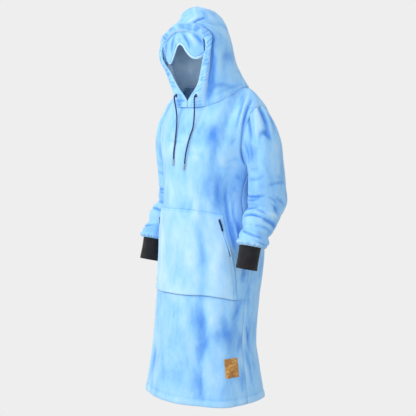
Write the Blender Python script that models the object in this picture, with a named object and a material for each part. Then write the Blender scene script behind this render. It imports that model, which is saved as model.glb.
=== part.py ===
"""A long hooded fleece pullover, worn shape, with an eye mask under its hood rim.

Metres, +Z up. The front faces -Y and the wearer's left is +X. The origin is the middle of the
shoulder line, where the wearer's shoulders carry the cloth.
"""

import math

import bmesh
import bpy
import numpy as np
from mathutils import Matrix, Vector

CLOTH = 0.0028
LINING = 0.0016
SEAM = 0.0003
LIFT = 0.0004

HEM = -1.037
CROSS_SEAM = -0.685
UNDERARM = -0.2625

NECK_FRONT_DROP = 0.068
NECK_FRONT = 0.135
DROP_FADE = 0.12
SHOULDER_ANGLE = math.radians(100)
NECK_SHARE = 0.6
SHOULDER_CURVE = 2.6
HOOD_RAISE = 0.0013

PANEL_COLUMNS = 20
WAIST_LEVELS = np.linspace(CROSS_SEAM, UNDERARM, 10)
SLEEVE_COLUMNS = 18
SLEEVE_ROWS = 17
SLEEVE_TURN = math.radians(10)
ARMHOLE_BEVEL = 0.0002
HOOD_COLUMNS = 10
SEAM_ROWS = 14
CROWN_ROWS = 4
SEAM_PART = 0.70

CUFF_RADIUS = 0.0355
CUFF_WALL = 0.0032
CUFF_LENGTH = 0.0745
CUFF_WAIST = 0.0012
CUFF_RIBS = 26
RIB_HEIGHT = 0.0007

CORD_RADIUS = 0.0024
TIP_RADIUS = 0.0028
TIP_LENGTH = 0.022
CORD_POINTS = 22
EYELET_OUTER = 0.0056
EYELET_INNER = 0.0030
EYELET_THICK = 0.0016
EYELET_ACROSS = 0.45
EYELET_ALONG = 0.125
EYELET_STEPS = 16

ZIP_WIDTH = 0.007
ZIP_THICK = 0.0012
SLIDER_PLACE = 0.20
SLIDER_LENGTH = 0.0090
SLIDER_WIDTH = 0.0058
SLIDER_BASE = 0.0020
BAIL_HALF = 0.0034
BAIL_BAR = 0.0010
BAIL_WIDTH = 0.0018
BAIL_TOP = 0.0033
PIVOT_HEIGHT = SLIDER_BASE + 0.00115
PULL_LENGTH = 0.022
PULL_WIDTH = 0.0064
PULL_THICK = 0.0010
WINDOW_LENGTH = 0.0048
WINDOW_WIDTH = 0.0036
PULL_CORNER = 0.0016
PATCH_THICK = 0.0014
PATCH_LIFT = 0.0008
PATCH_SHARES = (0.70, 0.91)
PATCH_LEVELS = (-0.944, -0.882)

BLUE = (0.30, 0.58, 0.87)
WHITE = (0.80, 0.83, 0.86)
NAVY = (0.02, 0.03, 0.09)
BLACK = (0.012, 0.012, 0.014)
STEEL = (0.55, 0.57, 0.60)
GOLD_BROWN = (0.55, 0.30, 0.10)


def table(columns, rows):
    """A table's columns by name."""
    return dict(zip(columns.split(), np.array(rows, float).T))


# The body's rings: side_y is the side seam, front_y and back_y the middles.
RINGS = table(
    "level half_width side_y front_y back_y power",
    [
        (HEM, 0.207, -0.062, -0.225, 0.102, 2.4),
        (-0.930, 0.188, -0.058, -0.209, 0.090, 2.4),
        (-0.860, 0.178, -0.060, -0.203, 0.082, 2.4),
        (-0.780, 0.177, -0.055, -0.198, 0.088, 2.4),
        (-0.700, 0.177, -0.045, -0.188, 0.099, 2.4),
        (-0.620, 0.179, -0.032, -0.180, 0.116, 2.4),
        (-0.540, 0.178, -0.024, -0.178, 0.126, 2.4),
        (-0.450, 0.162, -0.028, -0.181, 0.120, 2.45),
        (-0.370, 0.149, -0.032, -0.182, 0.108, 2.4),
        (-0.300, 0.156, -0.020, -0.182, 0.104, 2.25),
        (UNDERARM, 0.1685, -0.008, -0.180, 0.102, 2.15),
    ],
)

# The middles of the front and back above the underarm, from there (0) to the neck (1).
MIDDLES = table(
    "rise front_y back_y",
    [(0.0, -0.180, 0.102), (0.35, -0.175, 0.106), (0.7, -0.158, 0.098), (1.0, -0.135, 0.075)],
)

# Sleeve rings, the wearer's left: lift turns a ring up towards the shoulder, lean tips it forward.
SLEEVE = table(
    "along x y z lift lean half_out half_front",
    [
        (0.00, 0.188, -0.008, -0.1625, 79, 0, 0.102, 0.066),
        (0.10, 0.2130, -0.003, -0.203, 55, 0, 0.077, 0.066),
        (0.22, 0.2190, 0.004, -0.258, 25, 0, 0.057, 0.064),
        (0.35, 0.2150, 0.014, -0.318, 5, 0, 0.055, 0.069),
        (0.49, 0.2130, 0.018, -0.378, 0, 10, 0.056, 0.075),
        (0.61, 0.2180, -0.014, -0.425, 0, 26, 0.053, 0.059),
        (0.73, 0.2240, -0.045, -0.464, 0, 30, 0.050, 0.052),
        (0.83, 0.2280, -0.064, -0.492, 0, 26, 0.049, 0.050),
        (0.92, 0.2300, -0.076, -0.509, 0, 20, 0.049, 0.050),
        (1.00, 0.2305, -0.081, -0.517, 0, 14.2, 0.0352, 0.0352),
    ],
)

# The hood's level rings from the neck seam (0) to the crown (1).
HOOD = table(
    "share height half_width half_depth centre_y",
    [
        (0.00, 0.000, 0.130, 0.1050, -0.0300),
        (0.10, 0.030, 0.122, 0.0950, -0.0440),
        (0.22, 0.065, 0.117, 0.0930, -0.0640),
        (0.34, 0.100, 0.116, 0.0970, -0.0810),
        (0.47, 0.135, 0.115, 0.0990, -0.0920),
        (0.60, 0.170, 0.105, 0.0900, -0.0910),
        (0.73, 0.203, 0.087, 0.0800, -0.0890),
        (0.84, 0.230, 0.064, 0.0610, -0.0830),
        (0.93, 0.250, 0.040, 0.0410, -0.0900),
        (1.00, 0.262, 0.000, 0.0000, -0.0970),
    ],
)
HOOD_POWER = 2.5

# The casing round the face, from the V at the neck (0) to the forehead (1): its seam on the hood
# and its rim at the face opening, as shares of the hood's height and angles from the middle.
CASING = table(
    "along seam_share seam_angle rim_share rim_angle",
    [
        (0.00, 0.000, 27, 0.000, 0.15),
        (0.10, 0.050, 30, 0.045, 1.2),
        (0.24, 0.150, 40, 0.140, 20),
        (0.38, 0.250, 52, 0.240, 34),
        (0.52, 0.350, 61, 0.340, 46),
        (0.66, 0.470, 68, 0.450, 56),
        (0.78, 0.590, 69, 0.545, 52),
        (0.88, 0.690, 50, 0.600, 34),
        (0.95, 0.725, 26, 0.618, 16),
        (1.00, 0.735, 0, 0.622, 0),
    ],
)
CASING_FORM = table(
    "across outer inner",
    [
        (0.00, 0.0030, -0.0004),
        (0.25, 0.0090, -0.0008),
        (0.55, 0.0105, -0.0028),
        (0.80, 0.0080, -0.0034),
        (0.985, 0.0010, -0.0030),
    ],
)

# The lower edge of the eye mask, from its nose notch out to its end.
MASK_EDGE = table(
    "out height",
    [
        (0.000, 0.136),
        (0.012, 0.130),
        (0.025, 0.112),
        (0.040, 0.096),
        (0.056, 0.089),
        (0.072, 0.093),
        (0.085, 0.104),
        (0.094, 0.116),
    ],
)
MASK_HALF_WIDTH = 0.094
MASK_MIDDLE_Y = -0.1715
MASK_WRAP = 0.0396
MASK_EDGE_THICK = 0.0024
MASK_FILL = 0.0080
MASK_TUCK = 0.14
MASK_GAP = 0.0022
MASK_BAND = 0.10
MASK_RIM = (0.45, 0.999)
MASK_RIM_STEPS = 60
MASK_COLUMNS = 22
MASK_ROWS = 6
MASK_NOTCH = 0.02
MASK_NOTCH_FILL = 0.75

# The large soft folds of the body, on the front (-1) or the back (1).
BODY_FOLDS = table(
    "side share_top share_bottom top bottom half_width height",
    [
        (-1, 0.46, 0.30, -0.10, -1.30, 0.13, -0.0075),
        (-1, 0.80, 0.62, -0.62, -1.30, 0.11, 0.0060),
        (-1, 0.05, 0.02, -0.30, -1.30, 0.14, 0.0050),
        (-1, -0.42, -0.36, -0.35, -1.30, 0.12, -0.0050),
        (-1, -0.66, -0.62, -0.45, -1.30, 0.10, 0.0050),
        (1, -0.50, -0.42, -0.20, -1.30, 0.13, -0.0075),
        (1, -0.10, -0.14, -0.30, -1.30, 0.12, 0.0060),
        (1, 0.22, 0.24, -0.25, -1.30, 0.12, -0.0065),
        (1, 0.60, 0.56, -0.40, -1.30, 0.13, 0.0070),
    ],
)

# The large folds of a sleeve. The turn is from the outside (0) by the front (90) to the underside.
SLEEVE_FOLDS = table(
    "along turn half_along half_turn height",
    [
        (0.14, 70, 0.13, 13, -0.0060),
        (0.16, 98, 0.12, 13, 0.0045),
        (0.13, 35, 0.12, 14, 0.0040),
        (0.15, 290, 0.12, 16, -0.0050),
        (0.56, 75, 0.030, 70, -0.0090),
        (0.52, 265, 0.030, 50, -0.0050),
        (0.66, 60, 0.040, 90, 0.0060),
        (0.765, 90, 0.030, 110, -0.0085),
        (0.765, 270, 0.030, 70, -0.0070),
        (0.84, 330, 0.035, 90, 0.0045),
        (0.885, 120, 0.026, 70, -0.0055),
        (0.955, 0, 0.035, 130, 0.0050),
    ],
)

# The pocket's slanted side: the share of the front's half width at each height.
POCKET_SIDE = table(
    "level share",
    [(CROSS_SEAM, 0.86), (-0.610, 0.79), (-0.530, 0.725), (-0.450, 0.690), (-0.390, 0.675)],
)
POCKET_TOP = -0.395
POCKET_ARCH = 0.014
POCKET_INNER = 0.6
POCKET_LIFT = 0.0012
ZIP_TOP = -0.420
ZIP_BOTTOM = -0.548
ZIP_INSET = 0.075
ZIP_LIFT = 0.0008
HALF_WIDTH_ARC = 0.22

# Each forearm's height against the table: the wearer's left is held a little higher.
FOREARM_LIFT = {1: 0.006, -1: -0.010}
SIDES = {"left": 1, "right": -1}

# The drawcord's free ends hang in front of the chest.
CORD_ROUTES = {
    "left": [
        (0.0465, -0.1453, -0.0288),
        (0.0472, -0.1490, -0.0291),
        (0.0477, -0.1520, -0.0312),
        (0.0481, -0.1538, -0.0370),
        (0.0486, -0.1545, -0.0510),
        (0.0500, -0.1553, -0.0720),
        (0.0508, -0.1580, -0.1010),
        (0.0500, -0.1625, -0.1310),
        (0.0440, -0.1702, -0.1600),
        (0.0380, -0.1775, -0.1950),
        (0.0335, -0.1806, -0.2240),
        (0.0305, -0.1818, -0.2480),
    ],
    "right": [
        (-0.0465, -0.1453, -0.0288),
        (-0.0471, -0.1490, -0.0291),
        (-0.0472, -0.1520, -0.0313),
        (-0.0462, -0.1538, -0.0375),
        (-0.0425, -0.1543, -0.0540),
        (-0.0360, -0.1550, -0.0780),
        (-0.0300, -0.1582, -0.1060),
        (-0.0240, -0.1672, -0.1440),
        (-0.0210, -0.1758, -0.1840),
        (-0.0215, -0.1802, -0.2120),
        (-0.0220, -0.1818, -0.2360),
    ],
}


def along(knots, values, place):
    """A smooth curve through a table's values, read at the given places."""
    slopes = np.gradient(values, knots)
    place = np.clip(place, knots[0], knots[-1])
    low = np.clip(np.searchsorted(knots, place, side="right") - 1, 0, len(knots) - 2)
    step = knots[low + 1] - knots[low]
    part = (place - knots[low]) / step
    return (
        values[low] * (1 + 2 * part) * (1 - part) ** 2
        + values[low + 1] * part**2 * (3 - 2 * part)
        + step * slopes[low] * part * (1 - part) ** 2
        + step * slopes[low + 1] * part**2 * (part - 1)
    )


def read(source, name, place):
    """One column of a table against its first column."""
    first = next(iter(source))
    return along(source[first], source[name], place)


def point(x, y, z):
    return np.stack(np.broadcast_arrays(x, y, z), axis=-1)


def rounded(angle, power):
    """Sine and cosine of a superellipse's angle."""
    wave = np.stack([np.sin(angle), np.cos(angle)])
    return np.sign(wave) * np.abs(wave) ** (2 / power)


def ramp(value, start, end):
    """Rises smoothly from 0 at start to 1 at end."""
    part = np.clip((value - start) / (end - start), 0, 1)
    return part * part * (3 - 2 * part)


def dome(share, angle):
    """The outside of the hood at a share of its height and an angle from the middle of the face."""
    sine, cosine = rounded(angle, HOOD_POWER)
    x = read(HOOD, "half_width", share) * sine
    y = read(HOOD, "centre_y", share) - read(HOOD, "half_depth", share) * cosine
    height = read(HOOD, "height", share)
    drop = NECK_FRONT_DROP * np.clip(-y / NECK_FRONT, 0, None) ** 1.25
    return point(x, y, height - drop * np.clip(1 - height / DROP_FADE, 0, 1) ** 2)


def armhole(side, rise):
    """The armhole from the underarm (0) to the shoulder tip (1), on the front (-1) or back (1)."""
    turn = np.pi * (1 - rise)
    ring = {name: column[0] for name, column in SLEEVE.items()}
    lift = math.radians(ring["lift"])
    up = ring["half_out"] * np.cos(turn)
    return (
        ring["x"] + up * math.cos(lift),
        ring["y"] + side * ring["half_front"] * np.sin(turn),
        ring["z"] + up * math.sin(lift),
    )


def top_edge(side, share):
    """The neck seam, then the shoulder seam, out to the shoulder tip."""
    near = np.clip(share / NECK_SHARE, 0, 1)
    if side < 0:
        angle = near * SHOULDER_ANGLE
    else:
        angle = math.pi - near * (math.pi - SHOULDER_ANGLE)
    neck = dome(np.zeros_like(share), angle)
    out = np.clip((share - NECK_SHARE) / (1 - NECK_SHARE), 0, 1)[..., None]
    tip = np.array(armhole(side, 1.0))
    shoulder = neck + (tip - neck) * out
    shoulder[..., 2] = neck[..., 2] + (tip[2] - neck[..., 2]) * out[..., 0] ** SHOULDER_CURVE
    return shoulder


def body_folds(side, share, level):
    total = np.zeros(np.broadcast(share, level).shape)
    for row in zip(*BODY_FOLDS.values()):
        fold_side, share_top, share_bottom, top, bottom, half_width, height = row
        if fold_side != side:
            continue
        down = np.clip((top - level) / (top - bottom), 0, 1)
        middle = share_top + (share_bottom - share_top) * down
        bell = np.exp(-(((share - middle) / half_width) ** 2))
        total = total + height * bell * ramp(down, 0, 0.5)
    return total


def panel(side, share, level):
    """The outside of the front (-1) or back (1). The share is -1 and 1 at the sides."""
    size = np.clip(np.abs(share), 0, 1)
    rise = np.clip(1 - level / UNDERARM, 0, 1)
    below = np.minimum(level, UNDERARM)
    depth = "front_y" if side < 0 else "back_y"
    arm_x, arm_y, arm_z = armhole(side, rise)
    upper = rise > 0
    edge_x = np.where(upper, arm_x, read(RINGS, "half_width", below))
    edge_y = np.where(upper, arm_y, read(RINGS, "side_y", below))
    edge_z = np.where(upper, arm_z, below)
    neck_drop = NECK_FRONT_DROP if side < 0 else 0.0
    middle_y = np.where(upper, read(MIDDLES, depth, rise), read(RINGS, depth, below))
    middle_z = np.where(upper, UNDERARM + rise * (-neck_drop - UNDERARM), below)
    power = read(RINGS, "power", below)
    sine, cosine = rounded(size * math.pi / 2, power)
    row = point(
        edge_x * sine,
        edge_y + (middle_y - edge_y) * cosine,
        middle_z + (edge_z - middle_z) * size**2,
    )
    tip = np.array(armhole(side, 1.0))
    flat = point(
        tip[0] * sine,
        tip[1] + (MIDDLES[depth][-1] - tip[1]) * cosine,
        -neck_drop + (tip[2] + neck_drop) * size**2,
    )
    row = row + (rise**2)[..., None] * (top_edge(side, size) - flat)
    fold = body_folds(side, share, level)
    row[..., 0] += fold * sine
    row[..., 1] += side * fold * cosine
    row[..., 0] *= np.where(share < 0, -1.0, 1.0)
    return row


def front(share, level):
    return panel(-1, share, level)


def back(share, level):
    """The share runs from the wearer's left round to the right, so that the outside faces out."""
    return panel(1, -share, level)


def sleeve(turn, place):
    """The outside of the wearer's left sleeve."""
    ring = {name: read(SLEEVE, name, place) for name in SLEEVE if name != "along"}
    fold = np.zeros(np.broadcast(turn, place).shape)
    for middle, middle_turn, half_along, half_turn, height in zip(*SLEEVE_FOLDS.values()):
        away = (np.degrees(turn) - middle_turn + 180) % 360 - 180
        bell = np.exp(-(((place - middle) / half_along) ** 2) - (away / half_turn) ** 2)
        fold = fold + height * bell
    fold = fold * ramp(place, 0, 0.06) * ramp(place, 1.0, 0.95)
    lift = np.radians(ring["lift"])
    lean = np.radians(ring["lean"])
    out = (ring["half_out"] + fold) * np.cos(turn)
    forward = (ring["half_front"] + fold) * np.sin(turn)
    return point(
        ring["x"] + out * np.cos(lift),
        ring["y"] - forward * np.cos(lean),
        ring["z"] + out * np.sin(lift) + forward * np.sin(lean),
    )


def surface(form, across, upward, lift):
    """Points of a form moved out along its normal."""
    step = 1e-4
    run = form(across + step, upward) - form(across - step, upward)
    climb = form(across, upward + step) - form(across, upward - step)
    normal = np.cross(run, climb)
    normal /= np.maximum(np.linalg.norm(normal, axis=-1, keepdims=True), 1e-12)
    return form(across, upward) + normal * np.broadcast_to(lift, across.shape)[..., None]


def grid(first, second):
    """Two parameters over a grid, rows by the second."""
    return np.meshgrid(np.asarray(first, float), np.asarray(second, float))


def material(name, colour, roughness, metallic=0.0):
    made = bpy.data.materials.new(name)
    made.use_nodes = True
    shader = made.node_tree.nodes["Principled BSDF"]
    shader.inputs["Base Color"].default_value = (*colour, 1.0)
    shader.inputs["Roughness"].default_value = roughness
    shader.inputs["Metallic"].default_value = metallic
    return made


def add_object(name, mesh, look):
    made = bpy.data.objects.new(name, mesh)
    bpy.context.scene.collection.objects.link(made)
    mesh.materials.append(material(name, *look))
    return made


def wall(name, outer, inner, look, ring=False):
    """One closed solid between two grids of points, as a strip or as a ring that meets itself."""
    rows, columns = outer.shape[:2]
    work = bmesh.new()
    skins = []
    for skin in (outer, inner):
        skins.append([[work.verts.new(place) for place in row] for row in skin])
    steps = range(columns if ring else columns - 1)
    for skin in skins:
        for low, high in zip(skin, skin[1:]):
            for i in steps:
                j = (i + 1) % columns
                work.faces.new((low[i], low[j], high[j], high[i]))
    for k in (0, rows - 1):
        for i in steps:
            j = (i + 1) % columns
            work.faces.new((skins[0][k][i], skins[0][k][j], skins[1][k][j], skins[1][k][i]))
    if not ring:
        for i in (0, columns - 1):
            for k in range(rows - 1):
                pair = (skins[0][k][i], skins[0][k + 1][i], skins[1][k + 1][i], skins[1][k][i])
                work.faces.new(pair)
    bmesh.ops.remove_doubles(work, verts=work.verts, dist=1e-6)
    bmesh.ops.recalc_face_normals(work, faces=work.faces)
    mesh = bpy.data.meshes.new(name)
    work.to_mesh(mesh)
    work.free()
    mesh.shade_smooth()
    mesh.set_sharp_from_angle(angle=math.radians(50))
    return add_object(name, mesh, look)


def clear_armholes(points):
    """Keeps a body panel on its own side of both armhole planes."""
    lift = math.radians(SLEEVE["lift"][0])
    normal = np.array([math.sin(lift), 0.0, -math.cos(lift)])
    middle = np.array([SLEEVE[name][0] for name in "xyz"])
    for hand in (1, -1):
        facing = normal * (hand, 1, 1)
        beyond = (points - middle * (hand, 1, 1)) @ facing
        beyond = np.where(points[..., 2] > UNDERARM - 0.002, np.maximum(beyond, 0), 0)
        points = points - beyond[..., None] * facing
    return points


def body_panel(name, form, side, levels):
    """A body panel whose wall ends square on its seams."""
    share, level = grid(np.linspace(-1, 1, PANEL_COLUMNS + 1), levels)
    skins = [surface(form, share, level, lift) for lift in (0.0, -CLOTH)]
    shoulder = np.where(np.abs(share) >= NECK_SHARE, skins[0][-1, :, 1], side * -1.0)
    seam_y = np.where(level > UNDERARM, shoulder, skins[0][:, :1, 1])
    for skin in skins:
        skin[..., 1] = side * np.maximum(side * skin[..., 1], side * seam_y) + side * SEAM
    for column in (0, -1):
        below = levels <= UNDERARM
        skins[1][below, column, 1] = skins[0][below, column, 1]
    wall(name, *[clear_armholes(skin) for skin in skins], (BLUE, 0.85))


def build_body():
    skirt = np.linspace(HEM, CROSS_SEAM, 8)
    chest = np.append(WAIST_LEVELS[:-1], np.linspace(UNDERARM, 0, 9))
    body_panel("front_upper", front, -1, chest)
    body_panel("back", back, 1, np.append(skirt[:-1], chest))
    skirt[-1] -= 2 * SEAM
    body_panel("front_lower", front, -1, skirt)


def build_pocket():
    """The pocket keeps to the front's own columns and levels, so that it lies evenly on it."""
    levels = WAIST_LEVELS[WAIST_LEVELS < POCKET_TOP + POCKET_ARCH]
    inner = np.linspace(-POCKET_INNER, POCKET_INNER, round(POCKET_INNER * PANEL_COLUMNS) + 1)
    rows = []
    for number, level in enumerate(levels):
        edge = read(POCKET_SIDE, "share", level)
        outer = np.linspace(POCKET_INNER, edge, 4)[1:]
        shares = np.concatenate([-outer[::-1], inner, outer])
        last = number == len(levels) - 1
        arch = POCKET_ARCH * (1 - (shares / edge) ** 2) if last else 0
        first = POCKET_LIFT if number == 0 else 0
        rows.append((shares, np.full_like(shares, level) + arch + first))
    share, level = np.array(rows).transpose(1, 0, 2)
    skins = [surface(front, share, level, lift) for lift in (POCKET_LIFT + CLOTH, POCKET_LIFT)]
    wall("pocket", *skins, (BLUE, 0.85))


def zip_line(place, hand):
    """The middle of a zip, top (0) to bottom (1), as share and level."""
    level = ZIP_TOP + (ZIP_BOTTOM - ZIP_TOP) * place
    return hand * (read(POCKET_SIDE, "share", level) - ZIP_INSET * (1 - 0.45 * place)), level


def zip_frame(place, lift, hand):
    """A frame over the zip: X down the zip, Y across it, Z out of the cloth."""
    share, level = zip_line(np.array([place, place + 0.02]), hand)
    here, next_one = surface(front, share, level, lift)
    out = Vector(surface(front, share, level, lift + 0.01)[0] - here).normalized()
    down = Vector(next_one - here)
    down = (down - out * down.dot(out)).normalized()
    frame = Matrix((down, out.cross(down), out)).transposed().to_4x4()
    frame.translation = Vector(here)
    return frame


def build_zips():
    tape = POCKET_LIFT + CLOTH + ZIP_LIFT
    for name, hand in SIDES.items():
        across, place = grid([-0.5, 0.5], np.linspace(0, 1, 9))
        share, level = zip_line(place, hand)
        share = share + across * ZIP_WIDTH / HALF_WIDTH_ARC
        skins = [surface(front, share, level, lift) for lift in (tape + ZIP_THICK, tape)]
        wall(f"zip_{name}", *skins, (NAVY, 0.6))
        place_slider(name, zip_frame(SLIDER_PLACE, tape + ZIP_THICK + LIFT, hand))


def prism(name, outline, low, high, look):
    """An outline in X and Z made solid from low to high along Y."""
    work = bmesh.new()
    face = work.faces.new([work.verts.new((x, low, z)) for x, z in outline])
    grown = bmesh.ops.extrude_face_region(work, geom=[face])["geom"]
    moved = [item for item in grown if isinstance(item, bmesh.types.BMVert)]
    bmesh.ops.translate(work, verts=moved, vec=(0, high - low, 0))
    bmesh.ops.recalc_face_normals(work, faces=work.faces)
    mesh = bpy.data.meshes.new(name)
    work.to_mesh(mesh)
    work.free()
    return add_object(name, mesh, look)


def place_slider(name, frame):
    """The slider, a base under a bail, and the pull tab whose top bar turns under the bail."""
    half = SLIDER_LENGTH / 2
    base = prism(
        f"slider_{name}",
        [(-half, 0), (half, 0), (half, SLIDER_BASE * 0.7), (half - 0.001, SLIDER_BASE),
         (-half + 0.001, SLIDER_BASE), (-half, SLIDER_BASE * 0.7)],
        -SLIDER_WIDTH / 2, SLIDER_WIDTH / 2, (NAVY, 0.4),
    )
    top = SLIDER_BASE + BAIL_TOP
    inside = BAIL_HALF - BAIL_BAR
    sunk = SLIDER_BASE - 0.0004
    bail = prism(
        f"bail_{name}",
        [(-BAIL_HALF, sunk), (-inside, sunk), (-inside, top - BAIL_BAR), (inside, top - BAIL_BAR),
         (inside, sunk), (BAIL_HALF, sunk), (BAIL_HALF, top - BAIL_BAR / 2),
         (BAIL_HALF - BAIL_BAR / 2, top), (BAIL_BAR / 2 - BAIL_HALF, top),
         (-BAIL_HALF, top - BAIL_BAR / 2)],
        -BAIL_WIDTH / 2, BAIL_WIDTH / 2, (NAVY, 0.4),
    )
    base.matrix_world = frame
    bail.matrix_world = frame
    bail.hide_render = True
    bail.display_type = "WIRE"
    join = base.modifiers.new("bail", "BOOLEAN")
    join.operation = "UNION"
    join.object = bail
    pull = pull_tab(f"pull_{name}")
    pull.matrix_world = frame @ Matrix.Translation((0, 0, PIVOT_HEIGHT))


def pull_tab(name):
    """A flat tab with a window, its origin in the middle of its top bar."""
    top = -PULL_THICK / 2
    end = top + PULL_LENGTH
    half = PULL_WIDTH / 2
    corner = PULL_CORNER
    window_end = PULL_THICK / 2 + WINDOW_LENGTH
    outer = [(top, -half), (top, half), (window_end, half), (end - corner, half),
             (end, half - corner), (end, corner - half), (end - corner, -half), (window_end, -half)]
    slot = WINDOW_WIDTH / 2
    inner = [(PULL_THICK / 2, -slot), (PULL_THICK / 2, slot), (window_end, slot), (window_end, -slot)]
    work = bmesh.new()
    sheets = []
    for z in (-PULL_THICK / 2, PULL_THICK / 2):
        rim = [work.verts.new((x, y, z)) for x, y in outer]
        hole = [work.verts.new((x, y, z)) for x, y in inner]
        sheets.append((rim, hole))
        work.faces.new((rim[0], rim[1], hole[1], hole[0]))
        work.faces.new((rim[1], rim[2], hole[2], hole[1]))
        work.faces.new((rim[7], rim[0], hole[0], hole[3]))
        work.faces.new((hole[3], hole[2], rim[2], rim[3], rim[4], rim[5], rim[6], rim[7]))
    (rim_low, hole_low), (rim_high, hole_high) = sheets
    for low, high in ((rim_low, rim_high), (hole_low, hole_high)):
        for i in range(len(low)):
            j = (i + 1) % len(low)
            work.faces.new((low[i], low[j], high[j], high[i]))
    bmesh.ops.recalc_face_normals(work, faces=work.faces)
    mesh = bpy.data.meshes.new(name)
    work.to_mesh(mesh)
    work.free()
    return add_object(name, mesh, (NAVY, 0.35))


def build_patch():
    share, level = grid(np.linspace(*PATCH_SHARES, 7), np.linspace(*PATCH_LEVELS, 7))
    skins = [surface(front, share, level, lift) for lift in (PATCH_LIFT + PATCH_THICK, PATCH_LIFT)]
    wall("patch", *skins, (GOLD_BROWN, 0.45))


def build_sleeves():
    turn, place = grid(
        np.linspace(0, 2 * math.pi, SLEEVE_COLUMNS, endpoint=False) + SLEEVE_TURN,
        np.linspace(0, 1, SLEEVE_ROWS + 1),
    )
    outer = surface(sleeve, turn, place, 0.0)
    inner = surface(sleeve, turn, place, -CLOTH)
    lift = math.radians(SLEEVE["lift"][0])
    away = np.array([math.sin(lift), 0.0, -math.cos(lift)])
    inner[0] += ((outer[0] - inner[0]) @ away + ARMHOLE_BEVEL)[:, None] * away
    away *= 2 * SEAM
    for name, hand in SIDES.items():
        skins = []
        for skin in (outer, inner):
            moved = skin + away
            moved[..., 2] += FOREARM_LIFT[hand] * ramp(place, 0.35, 0.8)
            skins.append(moved * (hand, 1, 1))
        wall(f"sleeve_{name}", *skins, (BLUE, 0.85), ring=True)


def build_cuffs():
    lean = math.radians(SLEEVE["lean"][-1])
    down = np.array([0.0, -math.sin(lean), -math.cos(lean)])
    out = np.array([1.0, 0.0, 0.0])
    forward = np.cross(down, out)
    top = np.array([SLEEVE[name][-1] for name in "xyz"]) + down * 3 * SEAM
    turn, place = grid(
        np.linspace(0, 2 * math.pi, 2 * CUFF_RIBS, endpoint=False), [0.0, 0.5, 1.0]
    )
    rib = np.where(np.arange(2 * CUFF_RIBS) % 2, -RIB_HEIGHT, 0.0)
    waist = -CUFF_WAIST * np.sin(math.pi * place)
    skins = []
    for radius in (CUFF_RADIUS + waist + rib, CUFF_RADIUS - CUFF_WALL + waist):
        around = np.cos(turn)[..., None] * out + np.sin(turn)[..., None] * forward
        skins.append(
            top + place[..., None] * CUFF_LENGTH * down + around * radius[..., None]
        )
    for name, hand in SIDES.items():
        shift = np.array([0, 0, FOREARM_LIFT[hand]])
        moved = [(skin + shift) * (hand, 1, 1) for skin in skins]
        wall(f"cuff_{name}", *moved, (BLACK, 0.9), ring=True)


def hood_place(across, upward):
    """Share and angle on the dome: across runs from the casing seam to the back, upward to the crown."""
    place = np.clip(upward / SEAM_PART, 0, 1)
    over = np.clip((upward - SEAM_PART) / (1 - SEAM_PART), 0, 1)
    last_share = CASING["seam_share"][-1]
    front_share = read(CASING, "seam_share", place) + (1 - last_share) * over
    front_angle = np.radians(read(CASING, "seam_angle", place)) * (upward < SEAM_PART)
    back_share = upward
    across = np.clip(across, 0, 1)
    bend = across**1.3
    return (
        front_share + (back_share - front_share) * bend,
        front_angle + (math.pi - front_angle) * across,
    )


def hood(across, upward):
    share, angle = hood_place(across, upward)
    return dome(share, angle)


def build_hood():
    crown = np.linspace(SEAM_PART, 0.9999, CROWN_ROWS + 1)[1:]
    rows = np.append(np.linspace(0, SEAM_PART, SEAM_ROWS + 1), crown)
    for name, hand in SIDES.items():
        for kind, lift, thick, look in (
            ("hood", 0.0, CLOTH, (BLUE, 0.85)),
            ("lining", -CLOTH - LIFT, LINING, (WHITE, 0.9)),
        ):
            across, upward = grid(np.linspace(0, 1, HOOD_COLUMNS + 1), rows)
            skins = []
            for depth in (lift, lift - thick):
                skin = surface(hood, across, upward, depth)
                skin[-1] = skin[-1].mean(axis=0)
                skin[..., 0] = np.maximum(skin[..., 0], SEAM)
                skin[:, -1, 0] = SEAM
                skin[-1, :, 0] = SEAM
                skin[..., 2] += HOOD_RAISE
                skins.append(skin * (hand, 1, 1))
            skins[1][0, :, 2] = np.maximum(skins[1][0, :, 2], skins[0][0, :, 2])
            wall(f"{kind}_{name}", *skins, look)


def casing(across, place):
    """The hood's surface from the rim (0) to the casing seam (1), along the casing's length."""
    share = read(CASING, "rim_share", place)
    share = share + (read(CASING, "seam_share", place) - share) * across
    angle = read(CASING, "rim_angle", place)
    angle = angle + (read(CASING, "seam_angle", place) - angle) * across
    return dome(share, np.radians(angle))


def casing_lift(across, name):
    return along(CASING_FORM["across"], CASING_FORM[name], across)


def build_casing():
    """One strip from the V on the wearer's left, over the forehead, to the V on the right."""
    across, place = grid(CASING_FORM["across"], np.linspace(0, 1, SEAM_ROWS + 1))
    skins = []
    for name in ("outer", "inner"):
        left = surface(casing, across, place, casing_lift(across, name))
        left[..., 0] = np.maximum(left[..., 0], SEAM)
        left[-1, :, 0] = 0.0
        left[..., 2] += HOOD_RAISE
        seam_z = casing(across, place)[0, :, 2] + HOOD_RAISE
        left[0, :, 2] = np.maximum(left[0, :, 2], seam_z)
        right = left[-2::-1] * (-1, 1, 1)
        skins.append(np.concatenate([left, right]))
    wall("hood_casing", *skins, (BLUE, 0.85))


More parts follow.
